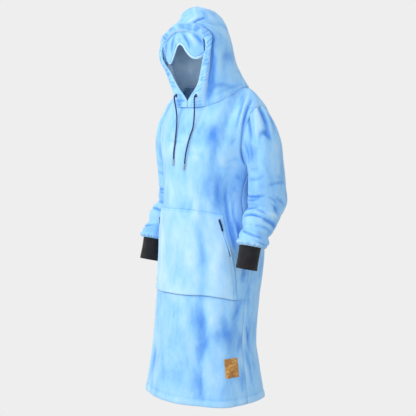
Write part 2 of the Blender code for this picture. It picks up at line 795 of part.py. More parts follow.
def build_mask():
    """A padded mask, thin at its edges, whose top is tucked behind the rim."""
    behind = casing_lift(MASK_TUCK, "inner") - MASK_EDGE_THICK / 2 - MASK_GAP
    places = np.linspace(*MASK_RIM, MASK_RIM_STEPS)
    rim = surface(casing, np.full(MASK_RIM_STEPS, MASK_TUCK), places, behind)
    order = np.argsort(rim[:, 0])
    rows = np.append(0.0, np.linspace(MASK_BAND, 1, MASK_ROWS))
    across, drop = grid(np.linspace(-1, 1, MASK_COLUMNS + 1), rows)
    x = across * MASK_HALF_WIDTH
    top, top_y = [np.interp(np.abs(x), rim[order, 0], rim[order, k]) for k in (2, 1)]
    top = top + HOOD_RAISE
    low = read(MASK_EDGE, "height", np.abs(x))
    hang_y = MASK_MIDDLE_Y + MASK_WRAP * (x / MASK_HALF_WIDTH) ** 2
    middle_y = top_y + (hang_y - top_y) * ramp(drop, 0, 0.6)
    below = np.clip((drop - MASK_BAND) / (1 - MASK_BAND), 0, 1)
    fill = (np.sin(math.pi * below) * np.cos(across * math.pi / 2)) ** 0.6
    swell = MASK_FILL * fill * np.where(np.abs(x) < MASK_NOTCH, MASK_NOTCH_FILL, 1.0)
    half = (MASK_EDGE_THICK + swell) / 2
    skins = [point(x, middle_y + sign * half, top + (low - top) * drop) for sign in (-1, 1)]
    wall("eye_mask", *skins, (BLUE, 0.8))


def facing(direction):
    """Turns Z to a direction."""
    return direction.to_track_quat("Z", "Y").to_matrix().to_4x4()


def eyelet_frame(hand):
    """The eyelet's middle on the casing and its outward direction."""
    across, place = np.array([EYELET_ACROSS]), np.array([EYELET_ALONG])
    lift = casing_lift(across, "outer")
    here = surface(casing, across, place, lift)[0]
    out = surface(casing, across, place, lift + 0.01)[0] - here
    out = Vector(out * (hand, 1, 1)).normalized()
    return Vector((here + (0, 0, HOOD_RAISE)) * (hand, 1, 1)) + out * 2 * SEAM, out


def build_eyelets():
    for name, hand in SIDES.items():
        here, out = eyelet_frame(hand)
        work = bmesh.new()
        profile = [
            (EYELET_INNER, 0.0),
            (EYELET_OUTER, 0.0),
            (EYELET_OUTER - 0.0004, EYELET_THICK * 0.6),
            ((EYELET_INNER + EYELET_OUTER) / 2, EYELET_THICK),
            (EYELET_INNER + 0.0003, EYELET_THICK * 0.6),
        ]
        rings = []
        for step in range(EYELET_STEPS):
            turn = 2 * math.pi * step / EYELET_STEPS
            rings.append(
                [work.verts.new((r * math.cos(turn), r * math.sin(turn), z)) for r, z in profile]
            )
        for ring, following in zip(rings, rings[1:] + rings[:1]):
            for i in range(len(profile)):
                j = (i + 1) % len(profile)
                work.faces.new((ring[i], ring[j], following[j], following[i]))
        bmesh.ops.recalc_face_normals(work, faces=work.faces)
        mesh = bpy.data.meshes.new(f"eyelet_{name}")
        work.to_mesh(mesh)
        work.free()
        mesh.shade_smooth()
        made = add_object(f"eyelet_{name}", mesh, (NAVY, 0.4, 0.6))
        made.matrix_world = Matrix.Translation(here) @ facing(out)


def smooth_route(route, count):
    """Evenly spread points of a smooth curve through the route's own points."""
    route = np.array(route)
    knots = np.append(0, np.cumsum(np.linalg.norm(np.diff(route, axis=0), axis=1)))
    fine = np.linspace(0, knots[-1], 400)
    curve = np.stack([along(knots, route[:, k], fine) for k in range(3)], axis=-1)
    walked = np.append(0, np.cumsum(np.linalg.norm(np.diff(curve, axis=0), axis=1)))
    even = np.linspace(0, walked[-1], count)
    return np.stack([np.interp(even, walked, curve[:, k]) for k in range(3)], axis=-1)


def build_drawstrings():
    for name in SIDES:
        points = smooth_route(CORD_ROUTES[name], CORD_POINTS)
        curve = bpy.data.curves.new(f"drawstring_{name}", "CURVE")
        curve.dimensions = "3D"
        curve.bevel_depth = CORD_RADIUS
        curve.bevel_resolution = 2
        curve.use_fill_caps = True
        spline = curve.splines.new("POLY")
        spline.points.add(len(points) - 1)
        for target, place in zip(spline.points, points):
            target.co = (*place, 1.0)
        add_object(f"drawstring_{name}", curve, (NAVY, 0.8))
        end = Vector(points[-1])
        down = (end - Vector(points[-2])).normalized()
        work = bmesh.new()
        bmesh.ops.create_cone(
            work, cap_ends=True, segments=12, radius1=TIP_RADIUS, radius2=TIP_RADIUS * 0.9,
            depth=TIP_LENGTH,
        )
        mesh = bpy.data.meshes.new(f"tip_{name}")
        work.to_mesh(mesh)
        work.free()
        made = add_object(f"tip_{name}", mesh, (STEEL, 0.3, 0.9))
        centre = end + down * (SEAM + TIP_LENGTH / 2)
        made.matrix_world = Matrix.Translation(centre) @ facing(down)


def main():
    for old in list(bpy.data.objects):
        bpy.data.objects.remove(old, do_unlink=True)
    build_body()
    build_pocket()
    build_zips()
    build_patch()
    build_sleeves()
    build_cuffs()
    build_hood()
    build_casing()
    build_mask()
    build_eyelets()
    build_drawstrings()


main()
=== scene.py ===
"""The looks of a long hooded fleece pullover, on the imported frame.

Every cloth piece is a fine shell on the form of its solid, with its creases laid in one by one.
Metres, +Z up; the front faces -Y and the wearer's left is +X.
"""

import math

import bmesh
import bpy
import numpy as np
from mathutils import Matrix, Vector


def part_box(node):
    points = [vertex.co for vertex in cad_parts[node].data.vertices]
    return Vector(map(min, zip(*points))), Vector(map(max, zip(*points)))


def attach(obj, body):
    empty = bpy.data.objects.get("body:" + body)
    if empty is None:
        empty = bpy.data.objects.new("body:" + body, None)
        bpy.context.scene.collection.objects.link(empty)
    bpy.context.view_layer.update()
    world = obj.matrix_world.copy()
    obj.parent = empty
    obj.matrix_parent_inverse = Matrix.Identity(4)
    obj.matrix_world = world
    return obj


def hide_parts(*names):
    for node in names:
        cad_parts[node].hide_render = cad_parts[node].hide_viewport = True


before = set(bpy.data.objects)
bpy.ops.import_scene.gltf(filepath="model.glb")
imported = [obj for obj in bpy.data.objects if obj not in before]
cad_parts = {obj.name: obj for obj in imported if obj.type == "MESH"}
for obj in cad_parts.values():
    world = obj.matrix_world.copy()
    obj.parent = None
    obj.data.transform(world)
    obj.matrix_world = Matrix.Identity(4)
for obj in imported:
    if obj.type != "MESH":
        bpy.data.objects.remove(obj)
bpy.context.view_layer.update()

CLOTH = 0.0028
LINING = 0.0016
LIFT = 0.0004

HEM = -1.037
CROSS_SEAM = -0.685
UNDERARM = -0.2625

NECK_FRONT_DROP = 0.068
NECK_FRONT = 0.135
DROP_FADE = 0.12
SHOULDER_ANGLE = math.radians(100)
NECK_SHARE = 0.6
SHOULDER_CURVE = 2.6
HOOD_RAISE = 0.0013

SEAM_PART = 0.70

CUFF_RADIUS = 0.0355
CUFF_WALL = 0.0032
CUFF_LENGTH = 0.0745
CUFF_WAIST = 0.0012
CUFF_RIBS = 26
RIB_HEIGHT = 0.0007

CORD_RADIUS = 0.0024

ZIP_WIDTH = 0.007
PATCH_THICK = 0.0014
PATCH_LIFT = 0.0008
PATCH_SHARES = (0.70, 0.91)
PATCH_LEVELS = (-0.944, -0.882)


def table(columns, rows):
    """A table's columns by name."""
    return dict(zip(columns.split(), np.array(rows, float).T))


# The body's rings: side_y is the side seam, front_y and back_y the middles.
RINGS = table(
    "level half_width side_y front_y back_y power",
    [
        (HEM, 0.207, -0.062, -0.225, 0.102, 2.4),
        (-0.930, 0.188, -0.058, -0.209, 0.090, 2.4),
        (-0.860, 0.178, -0.060, -0.203, 0.082, 2.4),
        (-0.780, 0.177, -0.055, -0.198, 0.088, 2.4),
        (-0.700, 0.177, -0.045, -0.188, 0.099, 2.4),
        (-0.620, 0.179, -0.032, -0.180, 0.116, 2.4),
        (-0.540, 0.178, -0.024, -0.178, 0.126, 2.4),
        (-0.450, 0.162, -0.028, -0.181, 0.120, 2.45),
        (-0.370, 0.149, -0.032, -0.182, 0.108, 2.4),
        (-0.300, 0.156, -0.020, -0.182, 0.104, 2.25),
        (UNDERARM, 0.1685, -0.008, -0.180, 0.102, 2.15),
    ],
)

# The middles of the front and back above the underarm, from there (0) to the neck (1).
MIDDLES = table(
    "rise front_y back_y",
    [(0.0, -0.180, 0.102), (0.35, -0.175, 0.106), (0.7, -0.158, 0.098), (1.0, -0.135, 0.075)],
)

# Sleeve rings, the wearer's left: lift turns a ring up towards the shoulder, lean tips it forward.
SLEEVE = table(
    "along x y z lift lean half_out half_front",
    [
        (0.00, 0.188, -0.008, -0.1625, 79, 0, 0.102, 0.066),
        (0.10, 0.2130, -0.003, -0.203, 55, 0, 0.077, 0.066),
        (0.22, 0.2190, 0.004, -0.258, 25, 0, 0.057, 0.064),
        (0.35, 0.2150, 0.014, -0.318, 5, 0, 0.055, 0.069),
        (0.49, 0.2130, 0.018, -0.378, 0, 10, 0.056, 0.075),
        (0.61, 0.2180, -0.014, -0.425, 0, 26, 0.053, 0.059),
        (0.73, 0.2240, -0.045, -0.464, 0, 30, 0.050, 0.052),
        (0.83, 0.2280, -0.064, -0.492, 0, 26, 0.049, 0.050),
        (0.92, 0.2300, -0.076, -0.509, 0, 20, 0.049, 0.050),
        (1.00, 0.2305, -0.081, -0.517, 0, 14.2, 0.0352, 0.0352),
    ],
)

# The hood's level rings from the neck seam (0) to the crown (1).
HOOD = table(
    "share height half_width half_depth centre_y",
    [
        (0.00, 0.000, 0.130, 0.1050, -0.0300),
        (0.10, 0.030, 0.122, 0.0950, -0.0440),
        (0.22, 0.065, 0.117, 0.0930, -0.0640),
        (0.34, 0.100, 0.116, 0.0970, -0.0810),
        (0.47, 0.135, 0.115, 0.0990, -0.0920),
        (0.60, 0.170, 0.105, 0.0900, -0.0910),
        (0.73, 0.203, 0.087, 0.0800, -0.0890),
        (0.84, 0.230, 0.064, 0.0610, -0.0830),
        (0.93, 0.250, 0.040, 0.0410, -0.0900),
        (1.00, 0.262, 0.000, 0.0000, -0.0970),
    ],
)
HOOD_POWER = 2.5

# The casing round the face, from the V at the neck (0) to the forehead (1): its seam on the hood
# and its rim at the face opening, as shares of the hood's height and angles from the middle.
CASING = table(
    "along seam_share seam_angle rim_share rim_angle",
    [
        (0.00, 0.000, 27, 0.000, 0.15),
        (0.10, 0.050, 30, 0.045, 1.2),
        (0.24, 0.150, 40, 0.140, 20),
        (0.38, 0.250, 52, 0.240, 34),
        (0.52, 0.350, 61, 0.340, 46),
        (0.66, 0.470, 68, 0.450, 56),
        (0.78, 0.590, 69, 0.545, 52),
        (0.88, 0.690, 50, 0.600, 34),
        (0.95, 0.725, 26, 0.618, 16),
        (1.00, 0.735, 0, 0.622, 0),
    ],
)
CASING_FORM = table(
    "across outer inner",
    [
        (0.00, 0.0030, -0.0004),
        (0.25, 0.0090, -0.0008),
        (0.55, 0.0105, -0.0028),
        (0.80, 0.0080, -0.0034),
        (0.985, 0.0010, -0.0030),
    ],
)

# The lower edge of the eye mask, from its nose notch out to its end.
MASK_EDGE = table(
    "out height",
    [
        (0.000, 0.136),
        (0.012, 0.130),
        (0.025, 0.112),
        (0.040, 0.096),
        (0.056, 0.089),
        (0.072, 0.093),
        (0.085, 0.104),
        (0.094, 0.116),
    ],
)
MASK_HALF_WIDTH = 0.094
MASK_MIDDLE_Y = -0.1715
MASK_WRAP = 0.0396
MASK_EDGE_THICK = 0.0024
MASK_FILL = 0.0080
MASK_TUCK = 0.14
MASK_GAP = 0.0022

# The large soft folds of the body, on the front (-1) or the back (1).
BODY_FOLDS = table(
    "side share_top share_bottom top bottom half_width height",
    [
        (-1, 0.46, 0.30, -0.10, -1.30, 0.13, -0.0075),
        (-1, 0.80, 0.62, -0.62, -1.30, 0.11, 0.0060),
        (-1, 0.05, 0.02, -0.30, -1.30, 0.14, 0.0050),
        (-1, -0.42, -0.36, -0.35, -1.30, 0.12, -0.0050),
        (-1, -0.66, -0.62, -0.45, -1.30, 0.10, 0.0050),
        (1, -0.50, -0.42, -0.20, -1.30, 0.13, -0.0075),
        (1, -0.10, -0.14, -0.30, -1.30, 0.12, 0.0060),
        (1, 0.22, 0.24, -0.25, -1.30, 0.12, -0.0065),
        (1, 0.60, 0.56, -0.40, -1.30, 0.13, 0.0070),
    ],
)

# The large folds of a sleeve. The turn is from the outside (0) by the front (90) to the underside.
SLEEVE_FOLDS = table(
    "along turn half_along half_turn height",
    [
        (0.14, 70, 0.13, 13, -0.0060),
        (0.16, 98, 0.12, 13, 0.0045),
        (0.13, 35, 0.12, 14, 0.0040),
        (0.15, 290, 0.12, 16, -0.0050),
        (0.56, 75, 0.030, 70, -0.0090),
        (0.52, 265, 0.030, 50, -0.0050),
        (0.66, 60, 0.040, 90, 0.0060),
        (0.765, 90, 0.030, 110, -0.0085),
        (0.765, 270, 0.030, 70, -0.0070),
        (0.84, 330, 0.035, 90, 0.0045),
        (0.885, 120, 0.026, 70, -0.0055),
        (0.955, 0, 0.035, 130, 0.0050),
    ],
)

# The pocket's slanted side: the share of the front's half width at each height.
POCKET_SIDE = table(
    "level share",
    [(CROSS_SEAM, 0.86), (-0.610, 0.79), (-0.530, 0.725), (-0.450, 0.690), (-0.390, 0.675)],
)
POCKET_LIFT = 0.0012
ZIP_TOP = -0.420
ZIP_BOTTOM = -0.548
ZIP_INSET = 0.075
ZIP_LIFT = 0.0008
HALF_WIDTH_ARC = 0.22

# Each forearm's height against the table: the wearer's left is held a little higher.
FOREARM_LIFT = {1: 0.006, -1: -0.010}
SIDES = {"left": 1, "right": -1}

# The drawcord's free ends hang in front of the chest.
CORD_ROUTES = {
    "left": [
        (0.0465, -0.1453, -0.0288),
        (0.0472, -0.1490, -0.0291),
        (0.0477, -0.1520, -0.0312),
        (0.0481, -0.1538, -0.0370),
        (0.0486, -0.1545, -0.0510),
        (0.0500, -0.1553, -0.0720),
        (0.0508, -0.1580, -0.1010),
        (0.0500, -0.1625, -0.1310),
        (0.0440, -0.1702, -0.1600),
        (0.0380, -0.1775, -0.1950),
        (0.0335, -0.1806, -0.2240),
        (0.0305, -0.1818, -0.2480),
    ],
    "right": [
        (-0.0465, -0.1453, -0.0288),
        (-0.0471, -0.1490, -0.0291),
        (-0.0472, -0.1520, -0.0313),
        (-0.0462, -0.1538, -0.0375),
        (-0.0425, -0.1543, -0.0540),
        (-0.0360, -0.1550, -0.0780),
        (-0.0300, -0.1582, -0.1060),
        (-0.0240, -0.1672, -0.1440),
        (-0.0210, -0.1758, -0.1840),
        (-0.0215, -0.1802, -0.2120),
        (-0.0220, -0.1818, -0.2360),
    ],
}


def along(knots, values, place):
    """A smooth curve through a table's values, read at the given places."""
    slopes = np.gradient(values, knots)
    place = np.clip(place, knots[0], knots[-1])
    low = np.clip(np.searchsorted(knots, place, side="right") - 1, 0, len(knots) - 2)
    step = knots[low + 1] - knots[low]
    part = (place - knots[low]) / step
    return (
        values[low] * (1 + 2 * part) * (1 - part) ** 2
        + values[low + 1] * part**2 * (3 - 2 * part)
        + step * slopes[low] * part * (1 - part) ** 2
        + step * slopes[low + 1] * part**2 * (part - 1)
    )


def read(source, name, place):
    """One column of a table against its first column."""
    first = next(iter(source))
    return along(source[first], source[name], place)


def point(x, y, z):
    return np.stack(np.broadcast_arrays(x, y, z), axis=-1)


def rounded(angle, power):
    """Sine and cosine of a superellipse's angle."""
    wave = np.stack([np.sin(angle), np.cos(angle)])
    return np.sign(wave) * np.abs(wave) ** (2 / power)


def ramp(value, start, end):
    """Rises smoothly from 0 at start to 1 at end."""
    part = np.clip((value - start) / (end - start), 0, 1)
    return part * part * (3 - 2 * part)


def dome(share, angle):
    """The outside of the hood at a share of its height and an angle from the middle of the face."""
    sine, cosine = rounded(angle, HOOD_POWER)
    x = read(HOOD, "half_width", share) * sine
    y = read(HOOD, "centre_y", share) - read(HOOD, "half_depth", share) * cosine
    height = read(HOOD, "height", share)
    drop = NECK_FRONT_DROP * np.clip(-y / NECK_FRONT, 0, None) ** 1.25
    return point(x, y, height - drop * np.clip(1 - height / DROP_FADE, 0, 1) ** 2)


def armhole(side, rise):
    """The armhole from the underarm (0) to the shoulder tip (1), on the front (-1) or back (1)."""
    turn = np.pi * (1 - rise)
    ring = {name: column[0] for name, column in SLEEVE.items()}
    lift = math.radians(ring["lift"])
    up = ring["half_out"] * np.cos(turn)
    return (
        ring["x"] + up * math.cos(lift),
        ring["y"] + side * ring["half_front"] * np.sin(turn),
        ring["z"] + up * math.sin(lift),
    )


def top_edge(side, share):
    """The neck seam, then the shoulder seam, out to the shoulder tip."""
    near = np.clip(share / NECK_SHARE, 0, 1)
    if side < 0:
        angle = near * SHOULDER_ANGLE
    else:
        angle = math.pi - near * (math.pi - SHOULDER_ANGLE)
    neck = dome(np.zeros_like(share), angle)
    out = np.clip((share - NECK_SHARE) / (1 - NECK_SHARE), 0, 1)[..., None]
    tip = np.array(armhole(side, 1.0))
    shoulder = neck + (tip - neck) * out
    shoulder[..., 2] = neck[..., 2] + (tip[2] - neck[..., 2]) * out[..., 0] ** SHOULDER_CURVE
    return shoulder


def body_folds(side, share, level):
    total = np.zeros(np.broadcast(share, level).shape)
    for row in zip(*BODY_FOLDS.values()):
        fold_side, share_top, share_bottom, top, bottom, half_width, height = row
        if fold_side != side:
            continue
        down = np.clip((top - level) / (top - bottom), 0, 1)
        middle = share_top + (share_bottom - share_top) * down
        bell = np.exp(-(((share - middle) / half_width) ** 2))
        total = total + height * bell * ramp(down, 0, 0.5)
    return total


def panel(side, share, level):
    """The outside of the front (-1) or back (1). The share is -1 and 1 at the sides."""
    size = np.clip(np.abs(share), 0, 1)
    rise = np.clip(1 - level / UNDERARM, 0, 1)
    below = np.minimum(level, UNDERARM)
    depth = "front_y" if side < 0 else "back_y"
    arm_x, arm_y, arm_z = armhole(side, rise)
    upper = rise > 0
    edge_x = np.where(upper, arm_x, read(RINGS, "half_width", below))
    edge_y = np.where(upper, arm_y, read(RINGS, "side_y", below))
    edge_z = np.where(upper, arm_z, below)
    neck_drop = NECK_FRONT_DROP if side < 0 else 0.0
    middle_y = np.where(upper, read(MIDDLES, depth, rise), read(RINGS, depth, below))
    middle_z = np.where(upper, UNDERARM + rise * (-neck_drop - UNDERARM), below)
    power = read(RINGS, "power", below)
    sine, cosine = rounded(size * math.pi / 2, power)
    row = point(
        edge_x * sine,
        edge_y + (middle_y - edge_y) * cosine,
        middle_z + (edge_z - middle_z) * size**2,
    )
    tip = np.array(armhole(side, 1.0))
    flat = point(
        tip[0] * sine,
        tip[1] + (MIDDLES[depth][-1] - tip[1]) * cosine,
        -neck_drop + (tip[2] + neck_drop) * size**2,
    )
    row = row + (rise**2)[..., None] * (top_edge(side, size) - flat)
    fold = body_folds(side, share, level)
    row[..., 0] += fold * sine
    row[..., 1] += side * fold * cosine
    row[..., 0] *= np.where(share < 0, -1.0, 1.0)
    return row


def front(share, level):
    return panel(-1, share, level)


def back(share, level):
    """The share runs from the wearer's left round to the right, so that the outside faces out."""
    return panel(1, -share, level)


def sleeve(turn, place):
    """The outside of the wearer's left sleeve."""
    ring = {name: read(SLEEVE, name, place) for name in SLEEVE if name != "along"}
    fold = np.zeros(np.broadcast(turn, place).shape)
    for middle, middle_turn, half_along, half_turn, height in zip(*SLEEVE_FOLDS.values()):
        away = (np.degrees(turn) - middle_turn + 180) % 360 - 180
        bell = np.exp(-(((place - middle) / half_along) ** 2) - (away / half_turn) ** 2)
        fold = fold + height * bell
    fold = fold * ramp(place, 0, 0.06) * ramp(place, 1.0, 0.95)
    lift = np.radians(ring["lift"])
    lean = np.radians(ring["lean"])
    out = (ring["half_out"] + fold) * np.cos(turn)
    forward = (ring["half_front"] + fold) * np.sin(turn)
    return point(
        ring["x"] + out * np.cos(lift),
        ring["y"] - forward * np.cos(lean),
        ring["z"] + out * np.sin(lift) + forward * np.sin(lean),
    )


def surface(form, across, upward, lift):
    """Points of a form moved out along its normal."""
    step = 1e-4
    run = form(across + step, upward) - form(across - step, upward)
    climb = form(across, upward + step) - form(across, upward - step)
    normal = np.cross(run, climb)
    normal /= np.maximum(np.linalg.norm(normal, axis=-1, keepdims=True), 1e-12)
    return form(across, upward) + normal * np.broadcast_to(lift, across.shape)[..., None]


def grid(first, second):
    """Two parameters over a grid, rows by the second."""
    return np.meshgrid(np.asarray(first, float), np.asarray(second, float))


def zip_line(place, hand):
    """The middle of a zip, top (0) to bottom (1), as share and level."""
    level = ZIP_TOP + (ZIP_BOTTOM - ZIP_TOP) * place
    return hand * (read(POCKET_SIDE, "share", level) - ZIP_INSET * (1 - 0.45 * place)), level


def hood_place(across, upward):
    """Share and angle on the dome: across runs from the casing seam to the back of the head."""
    place = np.clip(upward / SEAM_PART, 0, 1)
    over = np.clip((upward - SEAM_PART) / (1 - SEAM_PART), 0, 1)
    last_share = CASING["seam_share"][-1]
    front_share = read(CASING, "seam_share", place) + (1 - last_share) * over
    front_angle = np.radians(read(CASING, "seam_angle", place)) * (upward < SEAM_PART)
    back_share = upward
    across = np.clip(across, 0, 1)
    bend = across**1.3
    return (
        front_share + (back_share - front_share) * bend,
        front_angle + (math.pi - front_angle) * across,
    )


def hood(across, upward):
    share, angle = hood_place(across, upward)
    return dome(share, angle)


def casing(across, place):
    """The hood's surface from the rim (0) to the casing seam (1), along the casing's length."""
    share = read(CASING, "rim_share", place)
    share = share + (read(CASING, "seam_share", place) - share) * across
    angle = read(CASING, "rim_angle", place)
    angle = angle + (read(CASING, "seam_angle", place) - angle) * across
    return dome(share, np.radians(angle))


def casing_lift(across, name):
    return along(CASING_FORM["across"], CASING_FORM[name], across)


def smooth_route(route, count):
    """Evenly spread points of a smooth curve through the route's own points."""
    route = np.array(route)
    knots = np.append(0, np.cumsum(np.linalg.norm(np.diff(route, axis=0), axis=1)))
    fine = np.linspace(0, knots[-1], 400)
    curve = np.stack([along(knots, route[:, k], fine) for k in range(3)], axis=-1)
    walked = np.append(0, np.cumsum(np.linalg.norm(np.diff(curve, axis=0), axis=1)))
    even = np.linspace(0, walked[-1], count)
    return np.stack([np.interp(even, walked, curve[:, k]) for k in range(3)], axis=-1)


GARMENT = "garment"
POCKET_TOP_LEVEL = -0.3985
POCKET_CORNER_DROP = 0.0135
POCKET_HALF_WIDTH = 0.155
POCKET_HEIGHT = 0.29
POCKET_SEWN = 0.009
HEM_SEWN = 0.022

# How long one step of each form's own two parameters is, in metres.
PANEL_SIZE = (HALF_WIDTH_ARC, 1.0)
SLEEVE_LENGTH = 0.43
SLEEVE_SIZE = (0.00096, SLEEVE_LENGTH)
HOOD_SIZE = (0.30, 0.31)

# Soft creases, from one place to another on a panel. A height below 0 is a trough.
FRONT_CREASES = table(
    "share level share_end level_end bow width height lean",
    [
        (0.42, -0.09, 0.63, -0.42, 0.010, 0.020, -0.0030, 0.0),
        (0.54, -0.17, 0.66, -0.40, 0.004, 0.010, 0.0018, 0.3),
        (0.70, -0.30, 0.77, -0.53, 0.006, 0.0065, -0.0042, 0.6),
        (0.745, -0.40, 0.755, -0.53, 0.002, 0.0050, -0.0036, 0.5),
        (0.90, -0.36, 0.80, -0.57, -0.006, 0.0065, -0.0036, -0.5),
        (0.96, -0.305, 0.80, -0.275, 0.003, 0.0050, -0.0020, 0.6),
        (0.95, -0.345, 0.84, -0.320, 0.002, 0.0045, -0.0018, 0.5),
        (0.93, -0.20, 0.66, -0.235, -0.006, 0.0090, -0.0020, 0.4),
        (0.90, -0.13, 0.70, -0.16, 0.004, 0.0080, -0.0016, 0.4),
        (0.60, -0.02, 0.86, -0.11, 0.006, 0.0090, -0.0022, 0.4),
        (0.875, -0.020, 1.000, -0.140, -0.004, 0.0060, -0.0060, 0.7),
        (0.800, -0.020, 0.905, -0.120, -0.003, 0.0060, 0.0030, 0.2),
        (0.740, -0.020, 0.840, -0.130, -0.003, 0.0060, -0.0030, 0.5),
        (0.990, -0.110, 0.985, -0.255, 0.002, 0.0070, -0.0065, 0.2),
        (0.830, -0.390, 0.905, -0.600, 0.004, 0.0055, -0.0045, 0.5),
        (0.780, -0.340, 0.860, -0.560, 0.004, 0.0060, 0.0026, 0.2),
        (0.895, -0.430, 0.945, -0.590, 0.003, 0.0050, -0.0045, 0.5),
        (0.940, -0.550, 0.900, -0.640, 0.002, 0.0080, -0.0045, 0.3),
        (-0.20, -0.146, 0.06, -0.151, -0.003, 0.0055, -0.0016, 0.6),
        (0.10, -0.20, 0.40, -0.215, 0.005, 0.0100, -0.0014, 0.3),
        (-0.34, -0.20, -0.52, -0.39, 0.010, 0.0140, -0.0024, 0.2),
        (-0.72, -0.30, -0.76, -0.52, -0.006, 0.0070, -0.0038, -0.5),
        (-0.90, -0.34, -0.80, -0.55, 0.006, 0.0065, -0.0034, 0.5),
        (-0.93, -0.21, -0.64, -0.25, 0.006, 0.0090, -0.0020, 0.4),
        (-0.60, -0.02, -0.86, -0.12, -0.006, 0.0090, -0.0022, -0.4),
        (0.30, -0.43, 0.28, -0.66, 0.004, 0.0160, -0.0018, 0.2),
        (-0.26, -0.45, -0.20, -0.67, -0.004, 0.0140, 0.0022, 0.2),
        (0.26, -0.70, 0.37, -0.90, 0.010, 0.0180, -0.0026, 0.2),
        (0.05, -0.78, 0.02, -1.00, 0.006, 0.0180, -0.0018, 0.0),
        (0.34, -0.92, 0.37, -1.035, 0.000, 0.0090, -0.0030, 0.3),
        (0.62, -0.72, 0.70, -0.86, 0.010, 0.0130, -0.0024, 0.3),
        (0.94, -0.692, 0.80, -0.760, 0.006, 0.0060, -0.0022, 0.5),
        (0.98, -0.800, 0.90, -0.880, 0.004, 0.0070, -0.0026, 0.5),
        (0.97, -0.900, 0.93, -1.000, 0.004, 0.0080, -0.0026, 0.4),
        (-0.45, -0.72, -0.50, -1.02, 0.010, 0.0160, -0.0030, 0.2),
        (-0.80, -0.74, -0.86, -1.02, -0.008, 0.0120, -0.0030, 0.3),
        (-0.60, -0.80, -0.66, -1.03, 0.000, 0.0140, 0.0022, 0.2),
    ],
)
BACK_CREASES = table(
    "share level share_end level_end bow width height lean",
    [
        (0.62, -0.05, 0.84, -0.20, 0.008, 0.0090, -0.0026, 0.4),
        (-0.60, -0.04, -0.85, -0.19, -0.008, 0.0090, -0.0026, -0.4),
        (0.92, -0.24, 0.55, -0.34, 0.010, 0.0090, -0.0030, 0.5),
        (-0.92, -0.25, -0.58, -0.36, -0.010, 0.0090, -0.0030, 0.5),
        (0.20, -0.20, 0.42, -0.40, 0.006, 0.0150, -0.0030, 0.2),
        (-0.22, -0.18, -0.34, -0.44, -0.006, 0.0150, -0.0028, 0.2),
        (0.85, -0.42, 0.30, -0.46, 0.012, 0.0080, -0.0028, 0.6),
        (-0.80, -0.44, -0.38, -0.50, -0.010, 0.0080, -0.0026, 0.6),
        (-0.98, -0.62, -0.90, -0.79, -0.006, 0.0060, -0.0030, 0.5),
        (-0.97, -0.78, -0.88, -0.88, 0.004, 0.0060, -0.0034, 0.5),
        (-0.96, -0.86, -0.93, -0.99, 0.004, 0.0060, -0.0034, 0.5),
        (0.97, -0.70, 0.90, -0.92, 0.006, 0.0070, -0.0030, 0.5),
        (0.50, -0.56, 0.46, -1.02, 0.012, 0.0160, -0.0034, 0.2),
        (0.02, -0.62, -0.04, -1.03, 0.008, 0.0180, -0.0030, 0.1),
        (-0.52, -0.60, -0.58, -1.03, -0.010, 0.0150, -0.0032, 0.2),
        (0.74, -0.66, 0.78, -1.02, 0.004, 0.0130, 0.0024, 0.2),
        (-0.28, -0.70, -0.30, -1.02, 0.006, 0.0140, 0.0024, 0.2),
    ],
)

